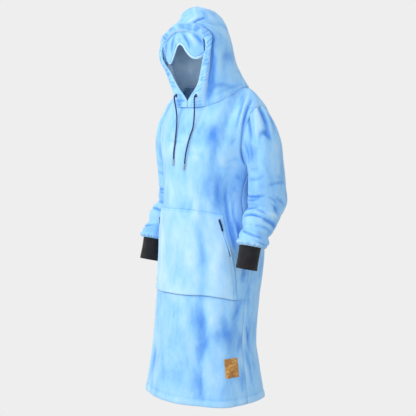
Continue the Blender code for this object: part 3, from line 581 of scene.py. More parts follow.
# On a sleeve the turn is in degrees, from the outside (0) by the front (90) to the underside (180).
SLEEVE_CREASES = table(
    "turn place turn_end place_end bow width height lean",
    [
        (40, -0.060, 78, 0.075, 0.003, 0.0045, -0.0048, 0.6),
        (26, -0.060, 66, 0.120, 0.004, 0.0050, 0.0034, 0.1),
        (20, -0.070, 56, 0.060, 0.003, 0.0042, -0.0040, 0.5),
        (14, -0.080, 40, 0.095, 0.002, 0.0075, 0.0040, 0.0),
        (2, -0.080, 22, 0.135, 0.003, 0.0060, -0.0056, -0.6),
        (354, -0.080, 10, 0.120, 0.003, 0.0070, 0.0030, 0.0),
        (50, 0.095, 14, 0.140, 0.006, 0.0055, -0.0050, 0.7),
        (84, 0.060, 92, 0.190, 0.003, 0.0060, -0.0030, 0.4),
        (346, 0.000, 358, 0.110, 0.003, 0.0070, -0.0030, 0.4),
        (318, 0.000, 326, 0.120, 0.003, 0.0070, -0.0030, 0.4),
        (286, 0.000, 292, 0.140, -0.003, 0.0070, -0.0032, 0.4),
        (100, 0.000, 104, 0.180, 0.003, 0.0070, -0.0035, 0.4),
        (120, 0.285, 46, 0.293, -0.010, 0.0055, -0.0026, 0.6),
        (100, 0.225, 60, 0.240, -0.006, 0.0070, -0.0018, 0.4),
        (42, 0.360, 326, 0.350, 0.004, 0.0050, -0.0030, 0.7),
        (20, 0.320, 345, 0.318, 0.003, 0.0060, -0.0016, 0.4),
        (140, 0.430, 44, 0.433, -0.012, 0.0065, -0.0050, 0.8),
        (132, 0.500, 60, 0.470, -0.006, 0.0060, -0.0034, 0.7),
        (150, 0.575, 62, 0.560, -0.010, 0.0060, -0.0046, 0.8),
        (74, 0.590, 30, 0.612, 0.003, 0.0055, -0.0042, 0.8),
        (128, 0.690, 20, 0.662, 0.007, 0.0060, -0.0062, 0.9),
        (40, 0.668, 326, 0.672, 0.003, 0.0080, -0.0085, 0.5),
        (112, 0.800, 12, 0.838, -0.006, 0.0060, -0.0058, 0.9),
        (30, 0.600, 340, 0.590, 0.002, 0.0090, 0.0040, 0.0),
        (56, 0.745, 330, 0.735, 0.005, 0.0060, -0.0034, 0.7),
        (40, 0.890, 330, 0.905, -0.004, 0.0055, -0.0034, 0.7),
        (42, 0.440, 10, 0.500, 0.003, 0.0042, -0.0028, 0.6),
        (22, 0.430, 350, 0.490, -0.002, 0.0042, -0.0026, 0.6),
        (6, 0.450, 334, 0.520, 0.002, 0.0042, -0.0028, 0.6),
        (34, 0.500, 358, 0.560, 0.002, 0.0042, -0.0028, 0.6),
        (14, 0.525, 342, 0.580, -0.002, 0.0045, -0.0026, 0.6),
        (340, 0.400, 318, 0.480, 0.002, 0.0050, -0.0024, 0.5),
        (330, 0.560, 280, 0.600, 0.004, 0.0060, -0.0040, 0.7),
        (300, 0.440, 240, 0.470, 0.006, 0.0065, -0.0036, 0.7),
        (260, 0.540, 190, 0.560, -0.006, 0.0065, -0.0040, 0.7),
        (318, 0.680, 236, 0.700, 0.006, 0.0065, -0.0050, 0.8),
        (250, 0.620, 180, 0.640, 0.004, 0.0060, -0.0036, 0.7),
        (310, 0.815, 220, 0.840, -0.006, 0.0060, -0.0050, 0.8),
        (220, 0.740, 160, 0.770, 0.004, 0.0060, -0.0040, 0.7),
        (250, 0.250, 190, 0.280, -0.006, 0.0070, -0.0028, 0.5),
        (300, 0.180, 240, 0.230, 0.008, 0.0090, -0.0024, 0.4),
    ],
)

# On the hood the first number runs from the casing (0) to the back seam (1), the second upward.
HOOD_CREASES = table(
    "across upward across_end upward_end bow width height lean",
    [
        (0.36, 0.790, 0.10, 0.612, -0.014, 0.0050, -0.0066, 0.8),
        (0.25, 0.790, 0.06, 0.640, -0.008, 0.0070, 0.0030, 0.0),
        (0.015, 0.660, 0.030, 0.010, 0.000, 0.0110, -0.0100, 0.1),
        (0.060, 0.420, 0.080, 0.060, 0.004, 0.0120, -0.0040, 0.1),
        (0.00, 0.110, 0.40, 0.050, 0.010, 0.0060, -0.0030, 0.6),
        (0.08, 0.055, 0.52, 0.020, 0.008, 0.0050, -0.0020, 0.5),
        (0.20, 0.360, 0.62, 0.230, 0.012, 0.0160, -0.0024, 0.2),
        (0.40, 0.175, 0.56, 0.150, 0.003, 0.0045, -0.0016, 0.4),
        (0.52, 0.560, 0.92, 0.440, 0.012, 0.0130, -0.0028, 0.3),
        (0.70, 0.300, 1.00, 0.220, 0.006, 0.0090, -0.0028, 0.4),
        (0.60, 0.120, 0.95, 0.090, -0.004, 0.0070, -0.0024, 0.4),
        (0.30, 0.620, 0.60, 0.700, 0.008, 0.0140, -0.0018, 0.2),
    ],
)

# Patches of painted light and shade on the front: middle, half sizes in metres, and how much
# lighter.
FRONT_PAINTED_PATCHES = table(
    "share level half_across half_along tone",
    [
        (-0.30, -0.24, 0.045, 0.080, 0.55),
        (0.20, -0.19, 0.050, 0.040, 0.45),
        (0.42, -0.14, 0.030, 0.055, -0.55),
        (0.56, -0.24, 0.022, 0.050, 0.50),
        (0.62, -0.34, 0.018, 0.090, -0.55),
        (0.10, -0.33, 0.060, 0.050, 0.40),
        (0.78, -0.20, 0.025, 0.060, 0.35),
        (-0.30, -0.56, 0.012, 0.130, 0.80),
        (-0.14, -0.54, 0.014, 0.100, -0.15),
        (0.05, -0.50, 0.035, 0.060, 0.25),
        (0.30, -0.56, 0.015, 0.130, -0.38),
        (0.52, -0.60, 0.040, 0.060, 0.35),
        (0.38, -0.80, 0.022, 0.090, -0.65),
        (0.52, -0.75, 0.028, 0.060, 0.60),
        (0.34, -0.96, 0.020, 0.070, -0.60),
        (0.46, -0.92, 0.022, 0.090, 0.35),
        (0.80, -0.80, 0.035, 0.070, -0.55),
        (0.05, -0.86, 0.050, 0.090, 0.20),
        (-0.42, -0.84, 0.016, 0.110, 0.70),
        (-0.60, -0.30, 0.030, 0.080, -0.35),
        (-0.70, -0.90, 0.030, 0.080, -0.35),
    ],
)


# How far the cross seam and the pocket's foot stand off their level, by share of the front.
SEAM_LINE = table(
    "share rise",
    [
        (-1.0, 0.0),
        (-0.35, 0.0),
        (0.1, 0.005),
        (0.35, 0.007),
        (0.6, 0.002),
        (0.8, -0.007),
        (1.0, -0.013),
    ],
)
SEAM_REACH = 0.09

# The rolled seams, the way cloth turns in at a panel's edge, and the calm round the hardware.
WELT_RADIUS = 0.0016
WELT_DEPTH = 0.0013
WELT_SIDES = 8
# The seam tubes are painted a little darker: painted shade in the groove between panels.
WELT_PAINTED_SHADE = -0.1
SKIN_EDGE = 0.0011
EDGE_WIDTH = 0.0038
SLEEVE_AWAY = 0.0006
CALM_REACH = 0.022


def creases(rows, across, along_it, size, turns=False):
    """The height of a table's creases over a form's two parameters."""
    total = np.zeros(np.broadcast(across, along_it).shape)
    for start, low, end, high, bow, width, height, lean in zip(*rows.values()):
        away, run = across - start, end - start
        if turns:
            away, run = (away + 180) % 360 - 180, (run + 180) % 360 - 180
        run = np.array([run, high - low]) * size
        length = np.hypot(*run)
        away = away * size[0]
        rise = (along_it - low) * size[1]
        part = (away * run[0] + rise * run[1]) / length**2
        side = (rise * run[0] - away * run[1]) / length - 4 * bow * part * (1 - part)
        taper = np.sin(math.pi * np.clip(part, 0, 1)) ** 0.7
        bell = np.exp(-((side / width) ** 2))
        total = total + height * taper * bell * (1 + lean * side / width)
    return total


def wander(across, along_it, height):
    """Soft unevenness that keeps cloth from looking pressed."""
    total = np.zeros(np.broadcast(across, along_it).shape)
    for number in range(9):
        angle = 0.4 + 2.4 * number
        wave = 2 * math.pi / (0.052 + 0.011 * number)
        turned = across * math.cos(angle) * 1.5 + along_it * math.sin(angle) * 0.8
        total = total + np.sin(turned * wave + 1.7 * number**1.5)
    return total * height / 3


def calm(points, middles):
    """0 at the hardware's places, 1 away from them."""
    keep = np.ones(points.shape[:-1])
    for middle in middles:
        away = np.linalg.norm(points - np.array(middle), axis=-1)
        keep = keep * (1 - np.exp(-((away / CALM_REACH) ** 4)))
    return keep


def node_middle(name):
    low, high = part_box(name)
    return (np.array(low) + np.array(high)) / 2


PULLS = [node_middle("slider_left"), node_middle("slider_right")]
PULLS += [node_middle("pull_left"), node_middle("pull_right")]
EYELETS = [node_middle("eyelet_left"), node_middle("eyelet_right")]


def front_relief(share, level):
    height = creases(FRONT_CREASES, share, level, PANEL_SIZE)
    height = height + wander(share * HALF_WIDTH_ARC, level, 0.0009)
    return height * calm(front(share, level), PULLS)


def back_relief(share, level):
    height = creases(BACK_CREASES, share, level, PANEL_SIZE)
    return height + wander(share * HALF_WIDTH_ARC + 0.3, level, 0.0009)


def sleeve_relief(turn, place):
    degrees = np.degrees(turn)
    height = creases(SLEEVE_CREASES, degrees, place, SLEEVE_SIZE, turns=True)
    gathers = 0.0014 * np.sin(17 * turn + 2 * np.sin(3 * turn)) + 0.0009 * np.sin(29 * turn + 1)
    gathers = gathers * ramp(place, 0.90, 0.97)
    uneven = wander(np.sin(turn) * 0.05 + np.cos(turn) * 0.02, place * SLEEVE_LENGTH, 0.0009)
    return (height + gathers + uneven) * ramp(place, 1.0, 0.985) * ramp(place, -0.015, 0.015)


def hood_relief(across, upward):
    height = creases(HOOD_CREASES, across, upward, HOOD_SIZE)
    height = height + wander(across * 0.3, upward * 0.31 + 0.2, 0.0008)
    return height * ramp(upward, 1.0, 0.93)


def painted_patches_of(rows, across, along_it, size):
    """How much painted light (above 0) or painted shade (below 0) the listed patches lay, -1 to 1.
    """
    total = np.zeros(np.broadcast(across, along_it).shape)
    for middle, level, half_across, half_along, tone in zip(*rows.values()):
        away = ((across - middle) * size[0] / half_across) ** 2
        total = total + tone * np.exp(-away - ((along_it - level) * size[1] / half_along) ** 2)
    return total


def seam_bend(share, level):
    """Levels bent so that the cross seam runs as worn, fading out above and below it."""
    near = np.exp(-(((level - CROSS_SEAM) / SEAM_REACH) ** 2))
    return level + read(SEAM_LINE, "rise", share) * near


def edge_roll(*distances):
    """Cloth turns in towards its seams."""
    total = 0
    for away in distances:
        total = total - SKIN_EDGE * np.exp(-((away / EDGE_WIDTH) ** 2))
    return total


def principled(name):
    made = bpy.data.materials.new(name)
    made.use_nodes = True
    nodes, links = made.node_tree.nodes, made.node_tree.links
    return made, nodes, links, nodes["Principled BSDF"]


def settle(shader, **values):
    """Sets a shader's constants by their socket names, with _ for each space."""
    for name, value in values.items():
        shader.inputs[name.replace("_", " ")].default_value = value


def noise(nodes, links, scale, detail=3.0, roughness=0.5, stretch=(1, 1, 1), distortion=0.0):
    place = nodes.new("ShaderNodeTexCoord")
    turn = nodes.new("ShaderNodeMapping")
    turn.inputs["Scale"].default_value = stretch
    made = nodes.new("ShaderNodeTexNoise")
    made.inputs["Scale"].default_value = scale
    made.inputs["Detail"].default_value = detail
    made.inputs["Roughness"].default_value = roughness
    made.inputs["Distortion"].default_value = distortion
    links.new(place.outputs["Object"], turn.inputs["Vector"])
    links.new(turn.outputs["Vector"], made.inputs["Vector"])
    return made.outputs["Fac"]


def math_node(nodes, links, operation, first, second):
    made = nodes.new("ShaderNodeMath")
    made.operation = operation
    for socket, value in zip(made.inputs, (first, second)):
        if isinstance(value, (int, float)):
            socket.default_value = value
        else:
            links.new(value, socket)
    return made.outputs["Value"]


def ramp_node(nodes, links, value, stops):
    made = nodes.new("ShaderNodeValToRGB")
    ramp_of = made.color_ramp
    while len(ramp_of.elements) < len(stops):
        ramp_of.elements.new(0.5)
    for element, (place, colour) in zip(ramp_of.elements, stops):
        element.position = place
        element.color = (*colour, 1.0)
    links.new(value, made.inputs["Fac"])
    return made.outputs["Color"]


def mean_of(nodes, links, first, second):
    return math_node(nodes, links, "MULTIPLY", math_node(nodes, links, "ADD", first, second), 0.5)


def bump(nodes, links, height, strength, distance, under=None):
    made = nodes.new("ShaderNodeBump")
    made.inputs["Strength"].default_value = strength
    made.inputs["Distance"].default_value = distance
    links.new(height, made.inputs["Height"])
    if under is not None:
        links.new(under, made.inputs["Normal"])
    return made.outputs["Normal"]


# The fleece's blues: its random patches run over this ramp, and the painted shade reaches towards
# the deep blue, the painted light towards the light blue.
DEEP_BLUE = (0.085, 0.285, 0.80)
MID_BLUE = (0.29, 0.60, 0.97)
LIGHT_BLUE = (0.54, 0.78, 0.98)


def fleece_material(name, deep=DEEP_BLUE, middle=MID_BLUE, light=LIGHT_BLUE, painted_shading=0.42):
    """Short plush, lighter and darker in random soft patches, with painted light and shade from a
    point attribute: darker in creases, lighter on ridges and in listed patches.
    """
    made, nodes, links, shader = principled(name)
    patches = noise(nodes, links, 13.0, 4.0, 0.62, (1.3, 1.3, 0.6), 0.8)
    blots = noise(nodes, links, 46.0, 3.0, 0.6, (1.0, 1.0, 0.55), 0.6)
    grain = noise(nodes, links, 900.0, 2.0, 0.6)
    tufts = noise(nodes, links, 260.0, 3.0, 0.6)
    # Painted light and shade: a point attribute darkens the colour in creases and seams and
    # lightens it on ridges and in listed patches.
    hand = nodes.new("ShaderNodeAttribute")
    hand.attribute_name = "painted_shading"
    value = math_node(nodes, links, "MULTIPLY_ADD", patches, 0.75)
    value.node.inputs[2].default_value = -0.375 + 0.5
    value = math_node(nodes, links, "ADD", value, math_node(nodes, links, "MULTIPLY", blots, 0.35))
    value = math_node(nodes, links, "SUBTRACT", value, 0.175)
    value = math_node(nodes, links, "ADD", value, math_node(nodes, links, "MULTIPLY", grain, 0.12))
    value = math_node(nodes, links, "SUBTRACT", value, 0.06)
    painted_part = math_node(nodes, links, "MULTIPLY", hand.outputs["Fac"], painted_shading)
    value = math_node(nodes, links, "ADD", value, painted_part)
    colour = ramp_node(nodes, links, value, [(0.0, deep), (0.48, middle), (1.0, light)])
    links.new(colour, shader.inputs["Base Color"])
    settle(
        shader,
        Roughness=0.92,
        Specular_IOR_Level=0.12,
        Sheen_Weight=0.55,
        Sheen_Roughness=0.42,
        Sheen_Tint=(0.72, 0.90, 1.0, 1.0),
    )
    coarse = bump(nodes, links, tufts, 0.5, 0.0011)
    crushed = bump(nodes, links, blots, 0.35, 0.0035, coarse)
    links.new(bump(nodes, links, grain, 0.5, 0.0005, crushed), shader.inputs["Normal"])
    return made


def lining_material():
    made, nodes, links, shader = principled("woolly_lining")
    curls = noise(nodes, links, 230.0, 4.0, 0.7, distortion=1.2)
    clouds = noise(nodes, links, 30.0, 2.0)
    value = mean_of(nodes, links, curls, clouds)
    colour = ramp_node(nodes, links, value, [(0.3, (0.42, 0.68, 0.95)), (0.65, (0.68, 0.86, 1.0))])
    links.new(colour, shader.inputs["Base Color"])
    settle(shader, Roughness=0.95, Specular_IOR_Level=0.1, Sheen_Weight=0.25)
    links.new(bump(nodes, links, curls, 0.8, 0.002), shader.inputs["Normal"])
    return made


def knit_material():
    made, nodes, links, shader = principled("rib_knit")
    yarn = noise(nodes, links, 700.0, 3.0, 0.6, (1, 1, 0.5))
    fade = noise(nodes, links, 40.0, 2.0)
    value = mean_of(nodes, links, yarn, fade)
    colour = ramp_node(
        nodes, links, value, [(0.3, (0.006, 0.006, 0.008)), (0.7, (0.022, 0.022, 0.026))]
    )
    links.new(colour, shader.inputs["Base Color"])
    settle(shader, Roughness=0.88, Specular_IOR_Level=0.25, Sheen_Weight=0.12, Sheen_Roughness=0.5)
    links.new(bump(nodes, links, yarn, 0.6, 0.0008), shader.inputs["Normal"])
    return made


def cord_material():
    made, nodes, links, shader = principled("braided_cord")
    fibre = noise(nodes, links, 1200.0, 3.0, 0.6, (1, 1, 0.4))
    colour = ramp_node(
        nodes, links, fibre, [(0.3, (0.006, 0.012, 0.055)), (0.7, (0.016, 0.034, 0.14))]
    )
    links.new(colour, shader.inputs["Base Color"])
    settle(shader, Roughness=0.62, Sheen_Weight=0.15)
    links.new(bump(nodes, links, fibre, 0.4, 0.0004), shader.inputs["Normal"])
    return made


def hard_material(name, low, high, roughness, metallic, scale=300.0):
    """Metal or plastic with faint wear in its colour."""
    made, nodes, links, shader = principled(name)
    wear = noise(nodes, links, scale, 3.0, 0.6)
    colour = ramp_node(nodes, links, wear, [(0.35, low), (0.65, high)])
    links.new(colour, shader.inputs["Base Color"])
    settle(shader, Roughness=roughness, Metallic=metallic)
    links.new(bump(nodes, links, wear, 0.15, 0.0002), shader.inputs["Normal"])
    return made


def patch_material():
    """Satiny gold-brown leather-look, darker in its creases."""
    made, nodes, links, shader = principled("leather_look")
    clouds = noise(nodes, links, 55.0, 3.0, 0.6, (0.7, 0.7, 1.4), 1.0)
    pores = noise(nodes, links, 700.0, 3.0, 0.6)
    colour = ramp_node(
        nodes, links, clouds,
        [(0.30, (0.28, 0.115, 0.022)), (0.50, (0.52, 0.25, 0.055)), (0.70, (0.78, 0.47, 0.15))],
    )
    links.new(colour, shader.inputs["Base Color"])
    settle(shader, Roughness=0.42)
    creased = bump(nodes, links, clouds, 0.4, 0.002)
    links.new(bump(nodes, links, pores, 0.3, 0.0003, creased), shader.inputs["Normal"])
    return made


FLEECE = fleece_material("fleece")
MASK_FLEECE = fleece_material("mask_plush", painted_shading=0.5)
LINING_LOOK = lining_material()
KNIT = knit_material()
CORD = cord_material()
NAVY_METAL = hard_material("navy_metal", (0.006, 0.012, 0.05), (0.016, 0.03, 0.11), 0.32, 0.6)
STEEL = hard_material("steel", (0.42, 0.44, 0.47), (0.66, 0.68, 0.72), 0.24, 1.0)
NAVY_TAPE = hard_material("zip_tape", (0.008, 0.02, 0.09), (0.02, 0.05, 0.19), 0.7, 0.0, 900.0)
LEATHER = patch_material()
THREAD = hard_material("thread", (0.16, 0.40, 0.80), (0.26, 0.54, 0.92), 0.7, 0.0, 1500.0)
GOLD_THREAD = hard_material("gold_thread", (0.30, 0.15, 0.03), (0.50, 0.28, 0.08), 0.6, 0.0, 1500.0)


def add_mesh(name, points, faces, look, painted_shading=None):
    mesh = bpy.data.meshes.new(name)
    mesh.from_pydata(points.tolist(), [], faces.tolist())
    mesh.update()
    if painted_shading is not None:
        store = mesh.attributes.new("painted_shading", "FLOAT", "POINT")
        store.data.foreach_set("value", painted_shading.astype(np.float32))
    mesh.shade_smooth()
    mesh.materials.append(look)
    made = bpy.data.objects.new(name, mesh)
    bpy.context.scene.collection.objects.link(made)
    return made


def grid_faces(rows, columns, ring):
    """The quads of a grid of points, closed round each row if it is a ring."""
    index = np.arange(rows * columns).reshape(rows, columns)
    after = np.roll(index, -1, axis=1) if ring else index[:, 1:]
    here = index if ring else index[:, :-1]
    quads = np.stack([here[:-1], after[:-1], after[1:], here[1:]], axis=-1).reshape(-1, 4)
    return index, here, after, quads


def weld(made, distance=1e-6):
    work = bmesh.new()
    work.from_mesh(made.data)
    bmesh.ops.remove_doubles(work, verts=work.verts, dist=distance)
    bmesh.ops.recalc_face_normals(work, faces=work.faces)
    work.to_mesh(made.data)
    work.free()


def shell(name, outer, inner, look, ring=False, painted_shading=None):
    """A closed thin wall between two grids of points."""
    rows, columns = outer.shape[:2]
    index, here, after, front_faces = grid_faces(rows, columns, ring)
    count = rows * columns
    faces = [front_faces, front_faces[:, ::-1] + count]
    for row in (0, rows - 1):
        rim = np.stack([here[row], after[row], after[row] + count, here[row] + count], axis=-1)
        faces.append(rim if row else rim[:, ::-1])
    if not ring:
        for column in (0, columns - 1):
            edge = index[:, column]
            rim = np.stack([edge[:-1], edge[1:], edge[1:] + count, edge[:-1] + count], axis=-1)
            faces.append(rim[:, ::-1] if column else rim)
    points = np.concatenate([outer.reshape(-1, 3), inner.reshape(-1, 3)])
    if painted_shading is None:
        painted_shading = np.zeros((rows, columns))
    painted_shading = np.broadcast_to(painted_shading, (rows, columns)).ravel()
    made = add_mesh(name, points, np.concatenate(faces), look, np.concatenate([painted_shading, painted_shading]))
    weld(made)
    return made


def close_ends(made):
    work = bmesh.new()
    work.from_mesh(made.data)
    bmesh.ops.holes_fill(work, edges=work.edges)
    bmesh.ops.recalc_face_normals(work, faces=work.faces)
    work.to_mesh(made.data)
    work.free()


def closed_ring(name, points, look, painted_shading=None):
    """Rings of points joined into a tube with both ends filled."""
    faces = grid_faces(*points.shape[:2], ring=True)[-1]
    made = add_mesh(name, points.reshape(-1, 3), faces, look, painted_shading)
    close_ends(made)
    return made


def around_route(route, out, sides):
    """Angles and steps over a tube along a route, and the unit ways out from its middle."""
    run = np.gradient(route, axis=0)
    run /= np.linalg.norm(run, axis=1, keepdims=True)
    side = np.cross(run, out)
    side /= np.linalg.norm(side, axis=1, keepdims=True)
    other = np.cross(run, side)
    angles = np.linspace(0, 2 * math.pi, sides, endpoint=False)
    turn, row = grid(angles, np.arange(len(route)))
    step = row.astype(int)
    ways = np.cos(turn)[..., None] * side[step] + np.sin(turn)[..., None] * other[step]
    return turn, step, ways


def dress(made, node, body=GARMENT):
    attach(made, body)
    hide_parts(node)


def painted_shading_from(relief, hand=0.0):
    """Painted shade and light: troughs are painted deeper blue and ridges lighter, plus the given
    patch values.
    """
    return np.clip(relief / 0.0045, -1, 0.8) + hand


def clear_armholes(points):
    """Keeps a body panel on its own side of both armhole planes."""
    lift = math.radians(SLEEVE["lift"][0])
    normal = np.array([math.sin(lift), 0.0, -math.cos(lift)])
    middle = np.array([SLEEVE[name][0] for name in "xyz"])
    for hand in (1, -1):
        facing = normal * (hand, 1, 1)
        beyond = (points - middle * (hand, 1, 1)) @ facing
        beyond = np.where(points[..., 2] > UNDERARM - 0.002, np.maximum(beyond, 0), 0)
        points = points - beyond[..., None] * facing
    return points


def body_panel(name, form, relief, side, levels, columns, painted_rows=None):
    share, level = grid(np.linspace(-1, 1, columns + 1), levels)
    to_side = (1 - np.abs(share)) * HALF_WIDTH_ARC
    rolled = edge_roll(to_side, levels[-1] - level, level - levels[0])
    if side < 0:
        level = seam_bend(share, level)
    height = relief(share, level)
    skin = height * ramp(to_side, 0.0, 0.006) + rolled
    outer = surface(form, share, level, skin)
    inner = surface(form, share, level, skin - CLOTH)
    top = np.abs(share) >= NECK_SHARE
    shoulder = np.where(top, form(share[-1:], level[-1:])[..., 1], side * -1.0)
    seam_y = np.where(level > UNDERARM, shoulder, form(np.sign(share), level)[..., 1])
    for points in (outer, inner):
        points[..., 1] = side * np.maximum(side * points[..., 1], side * seam_y)
    # Painted light and shade: troughs darker, ridges lighter, and the listed patches lighter or
    # darker.
    hand = 0.0 if painted_rows is None else painted_patches_of(painted_rows, share, level, PANEL_SIZE)
    made = shell(
        f"{name}_cloth", clear_armholes(outer), clear_armholes(inner), FLEECE,
        painted_shading=painted_shading_from(height, hand),
    )
    dress(made, name)
    return made


def hem_band(level):
    """A turned hem: its fold stands out a little over the sewn line."""
    above = level - HEM
    sewn = np.exp(-(((above - HEM_SEWN) / 0.0028) ** 2))
    return 0.0012 * ramp(above, HEM_SEWN + 0.002, HEM_SEWN - 0.002) - 0.0022 * sewn


def build_body():
    waist = np.linspace(CROSS_SEAM, UNDERARM, 84)
    chest = np.append(waist[:-1], np.linspace(UNDERARM, 0, 60))
    skirt = np.linspace(HEM, CROSS_SEAM, 72)

    def lower_front(share, level):
        return front_relief(share, level) + hem_band(level)

    def whole_back(share, level):
        return back_relief(share, level) + hem_band(level)

    body_panel("front_upper", front, front_relief, -1, chest, 96, FRONT_PAINTED_PATCHES)
    body_panel("front_lower", front, lower_front, -1, skirt, 96, FRONT_PAINTED_PATCHES)
    body_panel("back", back, whole_back, 1, np.append(skirt[:-1], chest), 96)


def pocket_place(across, rise):
    """The pocket's own parameters turned into the front's share and level."""
    first = CROSS_SEAM + POCKET_LIFT
    last = POCKET_TOP_LEVEL - POCKET_CORNER_DROP * ramp(np.abs(across), 0.35, 1.0)
    level = first + (last - first) * rise
    edge = read(POCKET_SIDE, "share", level)
    ripple = 0.0012 * np.sin(9 * across + 0.6) * rise**4
    share = across * edge
    return share, seam_bend(share, level) + ripple


def build_pocket():
    across, rise = grid(np.linspace(-1, 1, 101), np.linspace(0, 1, 73))
    share, level = pocket_place(across, rise)
    to_side = (1 - np.abs(across)) * POCKET_HALF_WIDTH
    to_top = (1 - rise) * POCKET_HEIGHT
    edge = np.minimum(to_side, to_top)
    own = 0.0026 * ramp(edge, 0.0, 0.004) - 0.0014 * np.exp(-(((edge - POCKET_SEWN) / 0.002) ** 2))
    own = own - 0.0012 * ramp(edge, 0.014, 0.0)
    relief = front_relief(share, level)
    base = POCKET_LIFT + relief
    keep = calm(front(share, level), PULLS)
    outer = surface(front, share, level, base + CLOTH + own * keep)
    inner = surface(front, share, level, base)
    # Painted light and shade: the pocket is painted lighter over its raised middle and darker along
    # its edges and sewn line, over the front's creases and listed patches.
    made = shell(
        "pocket_cloth", outer, inner, FLEECE,
        painted_shading=painted_shading_from(relief + own - 0.0006, painted_patches_of(FRONT_PAINTED_PATCHES, share, level, PANEL_SIZE)),
    )
    dress(made, "pocket")


def zip_relief(share, level):
    return front_relief(share, level) + POCKET_LIFT + CLOTH + ZIP_LIFT


TAPE_THICK = 0.0006
TEETH = 88
TEETH_FROM = 0.10
TEETH_RUN = 0.88
TOOTH_SHIFT = 0.0006
TOOTH_HALF_WIDTH = 0.0014
TOOTH_HALF_HEIGHT = 0.0005
TOOTH_HALF_LENGTH = 0.00045
LIP_HALF_WIDTH = 0.0026
LIP_HALF_HEIGHT = 0.0019
LIP_MIDDLE = 0.0029
LIP_OPEN_END = 0.0012


def build_zips():
    """Tape, coil teeth and a lip of fleece down each side."""
    for name, hand in SIDES.items():
        across, place = grid(np.linspace(-0.5, 0.5, 9), np.linspace(0, 1, 81))
        share, level = zip_line(place, hand)
        share = share + across * ZIP_WIDTH / HALF_WIDTH_ARC
        lift = zip_relief(share, level)
        tape = shell(
            f"zip_{name}_tape",
            surface(front, share, level, lift + TAPE_THICK),
            surface(front, share, level, lift),
            NAVY_TAPE,
        )
        dress(tape, f"zip_{name}")
        teeth(name, hand)
        for side in (-1, 1):
            lip(name, hand, side)


def teeth(name, hand):
    """The coil: one rounded tooth after another, left and right in turn."""
    points, faces = [], []
    for number in range(TEETH):
        place = TEETH_FROM + TEETH_RUN * number / TEETH
        share, level = zip_line(np.array([place]), hand)
        lift = zip_relief(share, level) + TAPE_THICK
        here = surface(front, share, level, lift)[0]
        out = surface(front, share, level, lift + 0.01)[0] - here
        out /= np.linalg.norm(out)
        share_on, level_on = zip_line(np.array([place + 0.01]), hand)
        down = surface(front, share_on, level_on, lift)[0] - here
        down /= np.linalg.norm(down)
        side = np.cross(out, down)
        shift = side * (TOOTH_SHIFT if number % 2 else -TOOTH_SHIFT)
        base = len(points)
        for lengthwise in (-1, 1):
            for angle in np.linspace(0, 2 * math.pi, 6, endpoint=False):
                ring = side * (TOOTH_HALF_WIDTH * math.cos(angle))
                ring = ring + out * (TOOTH_HALF_HEIGHT * (1 + math.sin(angle)))
                points.append(here + shift + ring + down * (TOOTH_HALF_LENGTH * lengthwise))
        for i in range(6):
            j = (i + 1) % 6
            faces.append((base + i, base + j, base + 6 + j, base + 6 + i))
        faces += [(base, base + 3, base + 2, base + 1), (base, base + 5, base + 4, base + 3)]
        last = base + 6
        faces += [(last, last + 1, last + 2, last + 3), (last, last + 3, last + 4, last + 5)]
    made = add_mesh(f"zip_{name}_teeth", np.array(points), np.array(faces), NAVY_METAL)
    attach(made, GARMENT)


def lip(name, hand, side):
    """A rolled edge of fleece that half covers the zip."""
    turn, place = grid(np.linspace(0, 2 * math.pi, 13)[:-1], np.linspace(0.16, 1.04, 71))
    swell = np.sin(math.pi * np.clip((place - 0.14) / 0.90, 0, 1)) ** 0.35
    swell = np.where((place < 0.165) | (place > 1.035), 0.15, swell)
    share, level = zip_line(place, hand)
    half = LIP_HALF_WIDTH * swell
    middle = side * (LIP_MIDDLE + LIP_OPEN_END * ramp(place, 0.30, 0.16))
    share = share + (middle + half * np.cos(turn)) / HALF_WIDTH_ARC
    base = front_relief(share, level) + POCKET_LIFT + CLOTH
    lift = base + 0.0004 + LIP_HALF_HEIGHT * swell * (1 + np.sin(turn))
    points = surface(front, share, level, lift)
    # Painted light: each lip is painted a little lighter all over.
    made = closed_ring(
        f"zip_{name}_lip_{'in' if side < 0 else 'out'}", points, FLEECE, np.full(turn.size, 0.25)
    )
    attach(made, GARMENT)


def sleeve_shells():
    for name, hand in SIDES.items():
        turn, place = grid(
            np.linspace(0, 2 * math.pi, 108, endpoint=False), np.linspace(0, 1, 132)
        )
        shifted = turn if hand > 0 else turn + 0.12 * np.sin(2 * turn + 1)
        height = sleeve_relief(shifted, place)
        front_part = 0.25 + 0.75 * ramp(np.cos(turn - math.radians(100)), 0.3, 0.9)
        skin = height + edge_roll(place * SLEEVE_LENGTH) * 1.6 * front_part
        outer = surface(sleeve, turn, place, skin)
        inner = surface(sleeve, turn, place, skin - CLOTH)
        lift = math.radians(SLEEVE["lift"][0])
        unit = np.array([math.sin(lift), 0.0, -math.cos(lift)])
        away = unit * SLEEVE_AWAY
        first = sleeve(turn[:1], place[:1])[0]
        for points in (outer, inner):
            points[0] += ((first - points[0]) @ unit)[:, None] * unit
            points += away
            points[..., 2] += FOREARM_LIFT[hand] * ramp(place, 0.35, 0.8)
        # Painted shade in the sleeve's troughs and painted light on its ridges.
        made = shell(
            f"sleeve_{name}_cloth", outer * (hand, 1, 1), inner * (hand, 1, 1), FLEECE,
            ring=True, painted_shading=painted_shading_from(height),
        )
        dress(made, f"sleeve_{name}")


